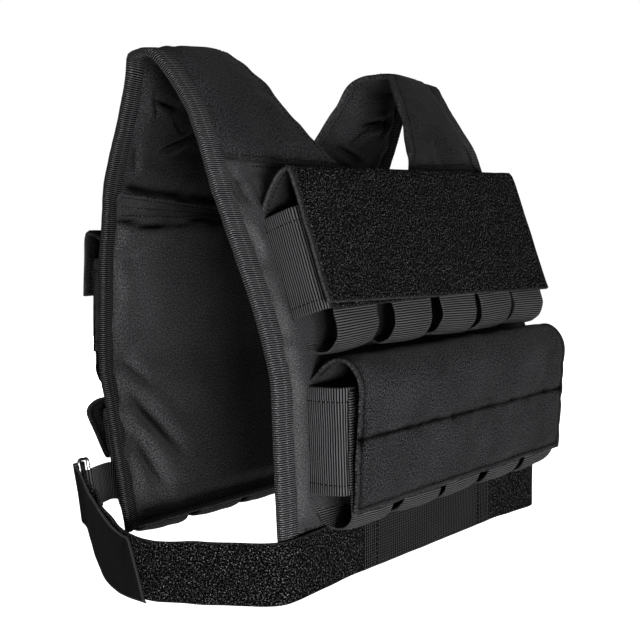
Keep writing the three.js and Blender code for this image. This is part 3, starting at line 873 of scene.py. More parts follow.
def pressFolds(piece, outward, folds, side):
    # folds pressed into one face of a wall: start, end, depth, half width, ridge beside it
    points = readPoints(piece) / mm
    count = len(outward)
    normals = np.zeros(points.size)
    piece.data.vertex_normals.foreach_get("vector", normals)
    normals = normals.reshape(-1, 3)
    normals *= np.sign(np.sum(normals[:count] * outward))
    shade = np.zeros(len(points))
    values = piece.data.attributes["fold"].data
    values.foreach_get("value", shade)
    face = points[:count] if side > 0 else points[count:2 * count]
    for first, last, depth, width, ridge in folds:
        index = nearestTo(face, first)
        a, base = face[index].copy(), side * outward[index]
        run = face[nearestTo(face, last)] - a
        share = np.clip(((points - a) @ run) / (run @ run), 0, 1)
        away = points - (a + share[:, None] * run)
        height = away @ base
        distance = np.linalg.norm(away - height[:, None] * base, axis=1)
        near = (normals @ base > 0.2) & (np.abs(height) < foldShape["reach"])
        fade = np.sin(np.clip(share, 0.02, 0.98) * np.pi) ** 0.6 * near
        beside = groove(distance, foldShape["ridgeAt"] * width, foldShape["ridgeWidth"] * width)
        push = ridge * beside - depth * groove(distance, 0, width)
        points += normals * (push * fade)[:, None]
        # painted shade along the fold's line, held in the fold attribute
        dark = min(depth / foldShape["fullShade"], 1) * foldShape["darkest"]
        shade = np.maximum(shade, groove(distance, 0, foldShape["shadeWidth"] * width) * fade * dark)
    writePoints(piece, points * mm)
    values.foreach_set("value", shade)


padRecipe = {"pressure": 3.0, "stretch": 12, "bend": 0.4, "slack": 0.03, "frames": 18, "cap": 4.5}
# outTuck and inTuck say how far the small tucks beside the edge push each face
panelPads = {
    "front": {"wall": "frontWall", "seamZone": (10, 22), "seamHeld": 10, "tuckSeed": 3, "outTuck": 1.3,
              "inTuck": 1.0},
    "back": {"wall": "backWall", "seamZone": (12, 26), "seamHeld": 13, "tuckSeed": 4, "outTuck": 1.0,
             "inTuck": -1.5},
}
padZones = {"edge": (10, 24), "hem": (10, 32), "sewnEdge": 10, "hemHeld": 3, "lineHeld": 2.4,
            "seamLeast": 0.12, "hemLeast": 0.15, "dented": (9, 24)}
tucking = {"height": 0.9, "size": 16, "near": (9, 18), "far": (26, 60)}
# dents across the inside of the back panel: distance from its seam or hem, half width, depth;
# the wander of the dent at the seam is its height, size and seed
backDents = {"seam": (36, 8, 2.8), "seamRidge": (27, 3.5, -1.6), "hem": (20, 6, 2.0)}
backWander = (3, 30, 8)
# painted shade lines in the creases along edges, seams and hem: distance from the edge or seam that they are
# named for, and half width
paintedShadeLines = {"edge": (13, 1.6), "frontSeam": (0, 1.6), "backSeam": (27.5, 3.4), "strapSeam": (3, 4.5),
             "hem": (body["hemBand"], 2.6)}
# painted shadow over the back panel's hem band, fading out between these distances from the hem
hemShadow = (9, 14)

# folds seen on the outside of the front and the inside of the back: start, end, depth, half width, ridge
frontFolds = [
    ((-172, -54, -86), (-161, -66, -122), 1.8, 3.6, 1.8),
    ((-159, -58, -92), (-149, -68, -126), 1.4, 4.0, 1.4),
    ((-176, -66, -126), (-164, -76, -152), 1.4, 3.6, 1.4),
    ((-172, -84, -178), (-160, -92, -206), 1.1, 4.5, 1.2),
    ((-174, -101, -232), (-164, -104, -258), 0.9, 4.5, 1.0),
]
backFolds = [
    ((-170, 62, -258), (-112, 58, -322), 2.6, 6.0, 2.6),
    ((-170, 58, -286), (-134, 50, -346), 2.2, 5.0, 2.4),
    ((-168, 62, -232), (-138, 62, -262), 1.6, 5.0, 1.6),
    ((-170, 64, -128), (-166, 64, -200), 1.0, 4.0, 1.0),
]


def tucksNear(grid, distance, seed, shape):
    # small waves in the cloth beside the bound edge
    height = shape["height"] * lumps(grid, shape["size"], seed)
    return (height * (1 - softStep(distance, *shape["far"])) * softStep(distance, *shape["near"])).ravel()


def denting(at, dent):
    centre, width, depth = dent
    return depth * groove(at, centre, width)


def wandering(distance, grid, wander):
    # a distance from a seam whose line wanders a little
    height, size, seed = wander
    return (distance + height * lumps(grid, size, seed, 2)).ravel()


def buildPanel(front):
    side = "front" if front else "back"
    pad = panelPads[side]
    grid, distance, at, fromSeam = panelGrid(front)
    seam = byRow(fromSeam, grid)
    hem = byRow(at if front else at[-1] - at, grid)
    thick = thinned(body[pad["wall"]], body["edgeWall"], 0, softStep(distance, *padZones["edge"]))
    thick = thinned(thick, body["seamWall"], padZones["seamLeast"], softStep(seam, *pad["seamZone"]))
    thick = thinned(thick, body["hemWall"], padZones["hemLeast"], softStep(hem, *padZones["hem"]))
    uv = np.stack([grid[..., 0], byRow(at, grid)], axis=-1)
    piece = clothWall(side + "Panel", grid, thick, uv, chestPaintedLightMatter if front else nylonMatter, bulge=0.45)
    held = (distance < padZones["sewnEdge"]) | (seam < pad["seamHeld"]) | (hem < padZones["hemHeld"])
    held |= np.abs(hem - body["hemBand"]) < padZones["lineHeld"]
    puff(piece, held, padRecipe)
    points = readPoints(piece) / mm
    normals = gridNormals(grid).reshape(-1, 3)
    count = held.size
    tucks = tucksNear(grid, distance, pad["tuckSeed"], tucking)
    outside = points[:count] + normals * (pad["outTuck"] * tucks)[:, None]
    inside = points[count:2 * count] + normals * (pad["inTuck"] * tucks)[:, None]
    # painted shade: dark lines in the creases along the stitched edge, the seams and the hem, held in the
    # fold attribute
    edgeLine = groove(distance.ravel(), *paintedShadeLines["edge"])
    if front:
        seamLine = groove(seam.ravel(), *paintedShadeLines["frontSeam"])
        shade = deepest(0.4 * edgeLine, 0.5 * seamLine)
        shadeFolds(piece, shade, 0 * shade)
    else:
        off = softStep(distance, *padZones["dented"]).ravel()
        flat = wandering(seam, grid, backWander)
        fromHem = hem.ravel()
        dent = denting(flat, backDents["seam"]) + denting(flat, backDents["seamRidge"])
        inside -= normals * ((dent + denting(fromHem, backDents["hem"])) * off)[:, None]
        seamLine = 0.97 * groove(flat, *paintedShadeLines["backSeam"]) * (0.4 + 0.6 * off)
        hemLine = 0.97 * groove(fromHem, *paintedShadeLines["hem"]) * off
        hemShade = 0.55 * (1 - softStep(fromHem, *hemShadow))
        shade = deepest(seamLine, hemLine, hemShade, 0.35 * edgeLine)
        shadeFolds(piece, 0 * shade, shade)
    points[:count], points[count:2 * count] = outside, inside
    writePoints(piece, points * mm)
    refine(piece)
    pressFolds(piece, normals, frontFolds if front else backFolds, 1 if front else -1)
    settle(piece, side + "_panel", "cloth")
    return distance, at, points


def lineAt(points, coordinate, value, outside=True, along="rows", skip=(0, 0)):
    # a line across the wall where a grid coordinate takes a value
    count = coordinate.size
    face = (points[:count] if outside else points[count:2 * count]).reshape(*coordinate.shape, 3)
    normals = gridNormals(face) * (1 if outside else -1)
    if along == "rows":
        face, normals, coordinate = face.swapaxes(0, 1), normals.swapaxes(0, 1), coordinate.T
    found, lies = [], []
    for i in range(skip[0], len(coordinate) - skip[1]):
        order = np.argsort(coordinate[i])
        places = coordinate[i][order]
        found.append([np.interp(value, places, face[i][order, c]) for c in range(3)])
        lies.append([np.interp(value, places, normals[i][order, c]) for c in range(3)])
    return np.array(found), unit(np.array(lies))


def sewLine(group, points, coordinate, value, lift=0.1, **place):
    line, lies = lineAt(points, coordinate, value, **place)
    sew(group, line + lies * lift, lies)


frontDistance, frontAt, frontPoints = buildPanel(True)
backDistance, backAt, backPoints = buildPanel(False)
print("vest: panels made")

strapRecipe = {"pressure": 3.5, "stretch": 12, "bend": 0.5, "slack": 0.025, "frames": 18, "cap": 4.0}
strapFolds = [
    ((-156, 39, -31), (-124, 43, -36), 3.6, 3.0, 2.4),
    ((-136, 52, -70), (-97, 52, -54), 2.8, 2.2, 1.6),
    ((-136, 43, -40), (-113, 50, -55), 2.4, 2.0, 1.4),
    ((-159, 37, -26), (-151, 41, -44), 2.6, 2.4, 2.4),
    ((-166, 46, -62), (-160, 52, -88), 2.0, 3.0, 2.0),
]
strapZones = {"edge": (10, 26), "neck": (0, 22), "front": (5, 20), "back": (8, 26), "sewnEdge": 10,
              "frontHeld": 5, "backHeld": 9, "neckLine": 7, "lineHeld": 2.4, "seamLeast": 0.1,
              "dented": (9, 26)}
strapTucks = {"height": 0.8, "size": 15, "near": (9, 18), "far": (24, 50)}
strapDents = {"dip": (15, 6, 3.6), "ridge": (4, 3, -1.2)}
strapWander = (2, 30, 9)


def mirrorFold(fold):
    (x1, *first), (x2, *last), *rest = fold
    return ((-x1, *first), (-x2, *last), *rest)


def buildStrap(right):
    grid, distance, fromNeck, at = strapGrid(right)
    fromFront = byRow(at - at[0], grid)
    fromBack = byRow(at[-1] - at, grid)
    thick = thinned(body["strapWall"], body["edgeWall"], 0, softStep(distance, *strapZones["edge"]))
    thick = thinned(thick, body["neckWall"], 0, softStep(fromNeck, *strapZones["neck"]))
    for fromEnd, zone in ((fromFront, "front"), (fromBack, "back")):
        away = softStep(fromEnd, *strapZones[zone])
        thick = thinned(thick, body["seamWall"], strapZones["seamLeast"], away)
    uv = np.stack([distance if right else -distance, byRow(at, grid)], axis=-1)
    piece = clothWall("strap" + sideName(right), grid, thick, uv, strapPaintedShadeMatter, bulge=0.5)
    held = (distance < strapZones["sewnEdge"]) | (fromFront < strapZones["frontHeld"])
    held |= fromBack < strapZones["backHeld"]
    held |= np.abs(fromNeck - strapZones["neckLine"]) < strapZones["lineHeld"]
    puff(piece, held, strapRecipe)
    points = readPoints(piece) / mm
    normals = gridNormals(grid).reshape(-1, 3)
    count = held.size
    tucks = tucksNear(grid, distance, 5 if right else 6, strapTucks)
    inside = points[count:2 * count] - normals * tucks[:, None]
    flat = wandering(fromBack, grid, strapWander)
    off = softStep(distance, *strapZones["dented"]).ravel()
    dent = denting(flat, strapDents["dip"]) + denting(flat, strapDents["ridge"])
    inside -= normals * (dent * off)[:, None]
    # painted shade in the fold where the strap's end meets the back panel, held in the fold attribute
    seamLine = 0.97 * groove(flat, *paintedShadeLines["strapSeam"]) * off
    shade = deepest(seamLine, 0.35 * groove(distance.ravel(), *paintedShadeLines["edge"]))
    shadeFolds(piece, 0 * shade, shade)
    points[:count] += normals * tucks[:, None]
    points[count:2 * count] = inside
    writePoints(piece, points * mm)
    refine(piece, 2)
    pressFolds(piece, normals, strapFolds if right else [mirrorFold(fold) for fold in strapFolds], -1)
    settle(piece, "shoulder_strap_" + sideName(right).lower(), "cloth")
    return distance, fromNeck, at, points


straps = {right: buildStrap(right) for right in (True, False)}
print("vest: straps made")

tape = {"width": 12.5, "wall": 1.3, "bow": 1.9, "lift": 0.35, "ripple": 0.35, "rippleSize": 9, "cell": 4}


def tapeSection():
    # across the folded tape: distance in from the edge, and side, from 1 outside to -1 inside
    outside = [(share * tape["width"], 1.0) for share in np.linspace(1, 0, 8)[:-1]]
    fold = [(-math.sin(angle) * tape["bow"], math.cos(angle)) for angle in np.linspace(0, math.pi, 7)]
    return outside + fold + [(distance, -1.0) for distance, _ in outside[::-1]]


def buildBinding(right):
    # tape folded over the armhole edge from the front hem over the shoulder to the back hem
    at = np.linspace(0, seamAt["end"], int(seamAt["end"] / tape["cell"]) + 1)
    outer, inner = bodyEdges(at)
    inward = unit(inner - outer)
    normal = unit(np.cross(inward, np.gradient(outer, axis=0)))
    roll = np.where(at >= seamAt["back"], body["backRoll"], 0.0)
    roll = np.where(at <= seamAt["front"], -body["frontRoll"], roll)
    lift = body["edgeWall"] / 2 + tape["lift"] + tape["wall"] / 2
    section = tapeSection()
    rows = []
    for distance, height in section:
        point = outer + inward * distance
        point[:, 1] += roll * rollRise(distance)
        rows.append(point + normal * (height * lift))
    grid = np.stack(rows, axis=1)
    ripple = lumps(grid, tape["rippleSize"], 11 if right else 12, 2) * tape["ripple"]
    grid += normal[:, None, :] * (ripple * np.sign([height for _, height in section]))[..., None]
    across = runLength(grid[10])
    across = across - across[-1] / 2
    if not right:
        grid = mirrorGrid(grid)
    # painted shade: the tape darkens from the front seam to the back seam, where it turns away from the light
    shade = byRow(softStep(at, seamAt["front"], seamAt["back"]), grid)
    piece = clothWall("binding" + sideName(right), grid, tape["wall"], spread(at, across), bindingMatter,
                      bulge=0.3, fold=(shade, shade))
    settle(piece, "armhole_binding_" + sideName(right).lower(), "webbing")


for right in (True, False):
    buildBinding(right)
print("vest: bindings made")

# distances of the rows of stitches from the ends of a panel or strap
seams = {"frontHem": (8, 20), "frontTop": 4.5, "backTop": (4, 12, 20), "backHem": (11, 4),
         "strapFront": 4.5, "strapBack": 5, "lift": 0.15}


def sewBody():
    lift = seams["lift"]
    fromHem = byRow(frontAt - frontAt[0], frontDistance)
    total = frontAt[-1] - frontAt[0]
    for gap in (*seams["frontHem"], total - seams["frontTop"]):
        sewLine("stitchesFrontPanel", frontPoints, fromHem, gap, lift, skip=(7, 7))
    fromSeam = byRow(backAt - backAt[0], backDistance)
    total = backAt[-1] - backAt[0]
    for gap in (*seams["backTop"], *(total - hem for hem in seams["backHem"])):
        for outside in (True, False):
            sewLine("stitchesBackPanel", backPoints, fromSeam, gap, lift, outside=outside, skip=(7, 7))
    for right, (distance, fromNeck, at, points) in straps.items():
        group = "stitchesStrap" + sideName(right)
        fromFront = byRow(at - at[0], distance)
        back = at[-1] - at[0] - seams["strapBack"]
        skip = (7, 1) if right else (1, 7)
        for outside, gap in ((True, seams["strapFront"]), (True, back), (False, back)):
            sewLine(group, points, fromFront, gap, lift, outside=outside, skip=skip)
        for outside in (True, False):
            sewLine(group, points, fromNeck, strapZones["neckLine"], outside=outside, along="columns",
                    skip=(2, 2))


sewBody()


# rows of pouches

# lean is how far the row leans back, in degrees; reach and drop give the hem of its band;
# sway moves each sling sideways, in shares of the slings' pitch
rowSeats = {
    "front_upper": {"back": False, "lean": 20.187, "reach": 100.325, "drop": 195,
                    "sway": (0.04, 0.19, 0.24, 0.14, 0.04)},
    "front_lower": {"back": False, "lean": 2.210, "reach": 116.968, "drop": 317,
                    "sway": (0, 0.02, -0.02, 0.05, 0)},
    "back_upper": {"back": True, "lean": 1.4246, "reach": 80.946, "drop": 233,
                   "sway": (0, 0.04, 0, -0.03, 0)},
    "back_lower": {"back": True, "lean": -12.504, "reach": 56.238, "drop": 349,
                   "sway": (0, 0.04, 0, -0.03, 0)},
}
pouch = {
    "webWall": 1.6,
    "bandHeight": 76,
    "bandHalf": 156,
    "corner": 9,
    "depth": 34.5,
    "clearance": 0.3,
    "slings": 5,
    "slingWidth": 51,
    "pitch": 62.5,
    "hang": 29,
    "tapeHeight": 48,
    "tapeWall": 1.2,
    "tapeFoot": 2,
}
slingOuter = pouch["depth"] + pouch["clearance"] + pouch["webWall"]
flapInner = slingOuter + pouch["clearance"] * 2 + pouch["tapeWall"]


def seat(row, points):
    # from across, outward and up in a row to the vest's own frame
    place = rowSeats[row]
    lean = math.radians(place["lean"])
    x, out, up = points[..., 0], points[..., 1], points[..., 2]
    y = -out * math.cos(lean) + up * math.sin(lean) - place["reach"]
    z = out * math.sin(lean) + up * math.cos(lean) - place["drop"]
    turned = -1 if place["back"] else 1
    return np.stack([x * turned, y * turned, z], axis=-1)


def waved(middle, height):
    # moves each point of a middle surface out along its normal
    return middle + gridNormals(middle) * height[..., None]


# heights of the rows of points, and the wall where the band is sewn down at its foot and hemmed at its top
band = {
    "foot": (0, 0.8, 3, 6),
    "plain": (9, 64, 14),
    "hem": (67, 68.2, 71, 75.2, 76),
    "footTo": 5,
    "footWall": 2.3,
    "hemFrom": 67.5,
    "hemWall": 3.0,
    "stitchAt": (66.5, 7.0),
    "bow": 0.5,
    "wave": 0.7,
    "waveSize": 22,
    "step": 3.2,
}


def bandPath(front):
    # round the pouches from one sewn end to the other, seen from above
    half, corner = pouch["bandHalf"], pouch["corner"]
    side = [[half, 0.9], [half + 1.2, 10], [half + 1.0, 18], [half, front - corner]]
    for angle in np.linspace(0, math.pi / 2, 7):
        side.append([half - corner + corner * math.cos(angle), front - corner + corner * math.sin(angle)])
    side = np.array(side)
    return np.vstack([side * (-1, 1), side[::-1]])


def buildBand(row, seed):
    front = pouch["depth"] - pouch["webWall"] / 2
    line = evenRun(bandPath(front), band["step"], 1)
    levels = np.concatenate([band["foot"], np.linspace(*band["plain"]), band["hem"]])
    grid = np.array([[[x, out, up] for x, out in line] for up in levels])
    bow = byRow(np.sin(np.linspace(0, math.pi, len(levels))) * band["bow"], grid)
    grid[..., 1] -= bow * (grid[..., 1] > front - 1)
    middle = waved(seat(row, grid), lumps(grid, band["waveSize"], seed, 2) * band["wave"])
    thick = np.where(levels < band["footTo"], band["footWall"], pouch["webWall"])
    thick = np.where(levels > band["hemFrom"], band["hemWall"], thick)[:, None]
    uv = spread(levels, runLength(line))[..., ::-1]
    piece = clothWall(row + "Band", middle, thick, uv, webMatter, bulge=0.3)
    points = readPoints(piece) / mm
    for level in band["stitchAt"]:
        sewLine("stitches_" + row, points, byRow(levels, grid), level, skip=(1, 1))
    settle(piece, row + "_band", "webbing")


# how a sling narrows, leans, twists and curls where it hangs lowest, and how its edges wander
sling = {
    "lowReach": 22,
    "narrow": 0.035,
    "pinch": 0.03,
    "lean": 2.2,
    "twist": 1.4,
    "curl": 0.9,
    "sway": 1.1,
    "swayRun": 21,
    "fray": 1.3,
    "frayRun": 8,
    "wave": 0.6,
    "waveSize": 14,
    "step": 2.6,
}


def slingPath():
    # down behind the weight, round under it and up in front; and the height of its lowest point
    back = pouch["clearance"] + pouch["webWall"] / 2
    front = slingOuter - pouch["webWall"] / 2
    radius = (front - back) / 2
    bottom = radius - pouch["hang"]
    top = pouch["bandHeight"] - 2
    path = [[back, top], [back, 40], [back, bottom + 4]]
    for angle in np.linspace(0, math.pi, 15):
        path.append([back + radius - radius * math.cos(angle), bottom - radius * math.sin(angle)])
    path += [[front, bottom + 4], [front, 40], [front, top]]
    return path, bottom - radius


def buildSling(row, k, seed):
    path, lowest = slingPath()
    line = evenRun(path, sling["step"], 1)
    run = runLength(line)
    half = pouch["slingWidth"] / 2
    middles = np.linspace(-half + 3.5, half - 3.5, 12)
    across = np.concatenate([[-half, -half + 1.2], middles, [half - 1.2, half]])
    share = across / half
    low = groove(line[:, 1], lowest, sling["lowReach"])
    chance = np.random.default_rng(100 * seed + k)
    lean, twist, pinch = chance.uniform(-1, 1, 3)
    centre = pouch["pitch"] * (k - (pouch["slings"] - 1) / 2 + rowSeats[row]["sway"][k])
    width = 1 - (sling["narrow"] + sling["pinch"] * abs(pinch)) * low
    shift = lean * sling["lean"] * low + sling["sway"] * np.sin(run / sling["swayRun"] + 6 * twist)
    frays = noiseGrid(run / sling["frayRun"], np.copysign(3, across), k + 0.5) * sling["fray"]
    grid = np.zeros((len(line), len(across), 3))
    grid[..., 0] = centre + shift[:, None] + across * width[:, None] + frays * np.abs(share) ** 3
    grid[..., 1] = line[:, :1]
    grid[..., 2] = line[:, 1:] + twist * sling["twist"] * low[:, None] * share
    wobble = lumps(grid + k * 100, sling["waveSize"], seed, 2) * sling["wave"]
    middle = waved(seat(row, grid), wobble - sling["curl"] * share ** 4 * low[:, None])
    uv = spread(run, across)
    piece = clothWall(f"{row}Sling{k + 1}", middle, pouch["webWall"], uv, webMatter, bulge=0.3)
    settle(piece, f"{row}_sling_{k + 1}", "webbing")


def buildTape(row, seed):
    reach = slingOuter + pouch["clearance"] + pouch["tapeWall"] / 2
    half = pouch["pitch"] * (pouch["slings"] - 1) / 2 + pouch["slingWidth"] / 2
    levels = np.linspace(-pouch["tapeFoot"], pouch["tapeHeight"] - pouch["tapeFoot"], 16)
    grid = np.array([[[x, reach, up] for x in np.linspace(-half, half, 76)] for up in levels])
    middle = waved(seat(row, grid), lumps(grid, 18, seed, 2) * 0.35)
    piece = clothWall(row + "LoopTape", middle, pouch["tapeWall"], grid[..., [0, 2]], pileMatter, bulge=0.3)
    settle(piece, row + "_loop_tape", "pile")


flapShapes = {
    "front_upper": {"half": 158, "rise": 28, "cover": 78, "skew": 4.5, "bow": 1.2},
    "back_upper": {"half": 158, "rise": 21, "cover": 31, "skew": 0, "bow": 0.8},
    "front_lower": {"half": 153, "rise": 21, "cover": 89, "swell": 8, "channel": 42},
    "back_lower": {"half": 153, "rise": 9, "cover": 40, "swell": 15, "channel": None},
}
# shares of the flap's reach and of its rise
crispArch = [(0.13, 0.27), (0.28, 0.50), (0.46, 0.71), (0.64, 0.90), (0.82, 1.00), (0.94, 1.00), (1.00, 0.84)]
softArch = [(0.11, 0.27), (0.25, 0.56), (0.40, 0.83), (0.55, 0.97), (0.70, 0.97), (0.84, 0.78),
            (0.95, 0.45), (1.00, 0.10), (0.99, -0.30)]
flapWall = 2.2


def flapPath(row):
    shape = flapShapes[row]
    top = pouch["bandHeight"]
    arch = softArch if "swell" in shape else crispArch
    reach = flapInner + flapWall / 2
    full = reach + shape.get("swell", 0)
    path = [[1.4, top + 1], [2.4, top + 4]] + [[out * full, top + up * shape["rise"]] for out, up in arch]
    last = path[-1]
    for share in (1 / 3, 2 / 3, 1):
        path.append([last[0] + (reach - last[0]) * share, last[1] + (top - shape["cover"] - last[1]) * share])
    return np.array(path)


def flapGrid(row, step):
    shape = flapShapes[row]
    line = evenRun(flapPath(row), step, 2)
    run = runLength(line)
    half = shape["half"]
    across = np.concatenate([[half, half - 1.5], np.linspace(half - 4, 4 - half, int(2 * half / 4.4)),
                             [1.5 - half, -half]])
    top = pouch["bandHeight"]
    fall = np.clip((top - line[:, 1]) / shape["cover"], 0, 1) * (line[:, 0] > 25)
    grid = np.zeros((len(line), len(across), 3))
    grid[..., 0] = across[None]
    grid[..., 1] = line[:, :1]
    grid[..., 2] = line[:, 1:] - fall[:, None] * shape.get("skew", 0) * across[None] / half
    return grid, run, across, line


crisp = {
    "wall": 1.7,
    "hem": 0.5,
    "hemWidth": (8, 10),
    "flare": 1.2,
    "waveSize": 42,
    "fold": 20,
    "stitchIn": 5,
    "facingWall": 1.2,
    "facingGap": 0.3,
    "facingInset": 0.4,
    "step": 3.4,
}


def buildCrispFlap(row, seed):
    shape = flapShapes[row]
    grid, run, across, line = flapGrid(row, crisp["step"])
    share = byColumn(np.abs(across) / shape["half"], grid)
    covered = shape["cover"] + crisp["fold"]
    face = byRow(np.clip((run - run[-1] + covered) / covered, 0, 1), grid)
    lift = shape["bow"] * np.sin(face * math.pi) * (1 - share ** 2) + crisp["flare"] * face ** 3 * share ** 3
    lift += lumps(grid, crisp["waveSize"], seed, 2) * np.clip(face * 3, 0.3, 1)
    middle = waved(seat(row, grid), lift)
    normals = gridNormals(middle)
    hem = np.minimum(byColumn(shape["half"] - np.abs(across), grid), byRow(run[-1] - run, grid))
    thick = crisp["wall"] + crisp["hem"] * (1 - softStep(hem, *crisp["hemWidth"]))
    uv = spread(run, across)[..., ::-1]
    flap = clothWall(row + "Flap", middle, thick, uv, liningMatter, bulge=0.3, normals=normals)
    settle(flap, row + "_flap", "cloth")
    points = readPoints(flap) / mm
    bare = run[1:-1] < run[-1] - covered - 2
    for side in (-1, 1):
        for outside in (False, True):
            places, lies = lineAt(points, byColumn(across * side, grid), shape["half"] - crisp["stitchIn"],
                                  outside=outside, along="columns", skip=(1, 1))
            if outside:
                places, lies = places[bare], lies[bare]
            sew("stitches_" + row, places + lies * 0.1, lies)
    start = int(np.argmax(line[:, 0] > 0.8 * line[:, 0].max()))
    columns = np.abs(across) < shape["half"] - crisp["facingInset"]
    lifted = middle + normals * (thick / 2 + crisp["facingGap"] + crisp["facingWall"] / 2)[..., None]
    facing = clothWall(row + "Facing", lifted[start:, columns], crisp["facingWall"], uv[start:, columns],
                       pileMatter, bulge=0.25, normals=normals[start:, columns])
    settle(facing, row + "_flap_facing", "pile")


softRecipe = {"pressure": 2.6, "stretch": 16, "bend": 0.3, "slack": 0.012, "frames": 16, "cap": 2.0}
soft = {
    "wall": 4.2,
    "sewnWall": 1.6,
    "bead": 1.3,
    "beadAt": 1.2,
    "rimZone": (4, 12),
    "channelZone": (1.5, 9),
    "stitchIn": 4,
    "stitchHeld": 1.8,
    "topHeld": 6,
    "wave": 0.35,
    "waveSize": 60,
    "pucker": 1.5,
    "puckerSize": 8,
    "plainTop": 8,
    "step": 3.6,
}


def buildSoftFlap(row, seed):
    shape = flapShapes[row]
    grid, run, across, line = flapGrid(row, soft["step"])
    middle = seat(row, grid)
    normals = gridNormals(middle)
    down, over = byRow(run, grid), byColumn(across, grid)
    rim = np.minimum(np.minimum(shape["half"] - np.abs(over), run[-1] - down), down + soft["stitchIn"])
    channel = np.full(rim.shape, 99.0)
    if shape["channel"] is not None:
        level = np.where(line[:, 0] > 30, line[:, 1], 999)
        channel = byRow(np.abs(level - shape["channel"]), grid)
    filled = softStep(rim, *soft["rimZone"]) * softStep(channel, *soft["channelZone"])
    thick = thinned(soft["wall"], soft["sewnWall"], 0, filled)
    thick += soft["bead"] * groove(rim, soft["beadAt"], soft["beadAt"])
    middle = middle + normals * (lumps(grid, soft["waveSize"], seed, 2) * soft["wave"])[..., None]
    uv = spread(run, across)[..., ::-1]
    piece = clothWall(row + "Flap", middle, thick, uv, flapMatter, bulge=0.6, normals=normals)
    onChannel = (channel == channel.min(axis=0, keepdims=True)) & (channel < 9)
    held = (np.abs(rim - soft["stitchIn"]) < soft["stitchHeld"]) | onChannel | (down < soft["topHeld"])
    puff(piece, held, softRecipe, rimHeld=False)
    points = readPoints(piece) / mm
    pucker = lumps(grid * np.array([1, 0.2, 1]), soft["puckerSize"], seed + 3, 2)
    pucker *= groove(channel, 5, 4.5) + 0.5 * groove(rim, 9, 4)
    points[:held.size] += (normals * (pucker * soft["pucker"])[..., None]).reshape(-1, 3)
    # painted shade along the stitched rim and the channel; the puckers lift it
    shade = 0.6 * groove(rim, soft["stitchIn"], 1.6) + 0.8 * onChannel + 0.1 * groove(channel, 4, 2)
    shade = np.clip(shade - 0.5 * pucker, 0, 1)
    shade[down < soft["plainTop"]] = 0
    shadeFolds(piece, shade.ravel(), shade.ravel())
    writePoints(piece, points * mm)
    refine(piece)
    settle(piece, row + "_flap", "cloth")
    group = "stitches_" + row
    for outside in (True, False):
        for side in (-1, 1):
            sewLine(group, points, over * side, shape["half"] - soft["stitchIn"], 0.05, outside=outside,
                    along="columns", skip=(1, 2))
        sewLine(group, points, down, run[-1] - soft["stitchIn"], 0.05, outside=outside, skip=(2, 2))
    if shape["channel"] is not None:
        sewLine(group, points, down, run[int(np.argmin(channel[:, 0]))], 0.05, skip=(2, 2))


for seed, row in enumerate(rowSeats, 21):
    buildBand(row, seed)
    for k in range(pouch["slings"]):
        buildSling(row, k, seed)
    if row.endswith("upper"):
        buildTape(row, seed)
        buildCrispFlap(row, seed)
    else:
        buildSoftFlap(row, seed)
    print("vest: row", row, "made")


# belt

belt = {
    "width": 45,
    "wall": 2.4,
    "sideWall": 2.2,
    "tailWall": 1.87,
    "half": 222,
    "drop": 378,
    "frontDrop": 368,
    "webHalf": 92,
    "seamGap": 0.3,
    "reach": 119.7,
    "ringBack": 74,
    "ringSide": 0.910,
    "ringDrop": 0.892,
    "tailLength": 7,
    "tailGap": 1.6,
    "tailFall": 1,
    "tailSlant": 20,
    "tailEnd": 30,
    "turnStations": 6,
}
# heights of the waves near the ring, along the layer and at its edges, and their sizes
beltWaves = {"edge": 1.68, "edgeRun": 4.4, "edgeFrom": (90, 50), "slow": 1.12, "slowRun": 34, "ripple": 0.72,
             "inset": 0.72, "insetRun": 22, "freeFrom": (120, 200), "freeTo": (26, 8), "flatTo": (60, 110)}
ring = {"wire": 1.5, "length": 50, "slot": 13, "lean": 12, "turn": 20, "corner": 3, "play": 0.6, "sides": 12}
# shares of the belt's half width, of its reach or of ringBack, and of its drop
beltRows = [
    (0.676, -1.000, 0.978), (0.757, -0.998, 0.980), (0.815, -0.975, 0.983), (0.845, -0.905, 0.986),
    (0.874, -0.775, 0.990), (0.905, -0.630, 0.992), (0.937, -0.498, 0.995), (0.973, -0.332, 0.997),
    (0.998, -0.166, 1.000), (1.000, 0.000, 1.000), (0.991, 0.230, 0.989), (0.973, 0.440, 0.969),
    (0.951, 0.640, 0.942), (0.930, 0.810, 0.916), (0.914, 0.920, 0.900),
]


def ringAxes():
    lean, turn = math.radians(ring["lean"]), math.radians(ring["turn"])
    up = np.array([0, math.sin(lean), math.cos(lean)])
    inward = np.array([math.cos(turn), math.sin(turn), 0])
    inward = unit(inward - up * (inward @ up))
    outward = unit(np.cross(inward, up))
    if outward[0] > 0:
        outward = -outward
    front = np.array([-belt["ringSide"] * belt["half"], belt["ringBack"], -belt["ringDrop"] * belt["drop"]])
    return up, inward, outward, front


ringUp, ringIn, ringOut, ringFront = ringAxes()


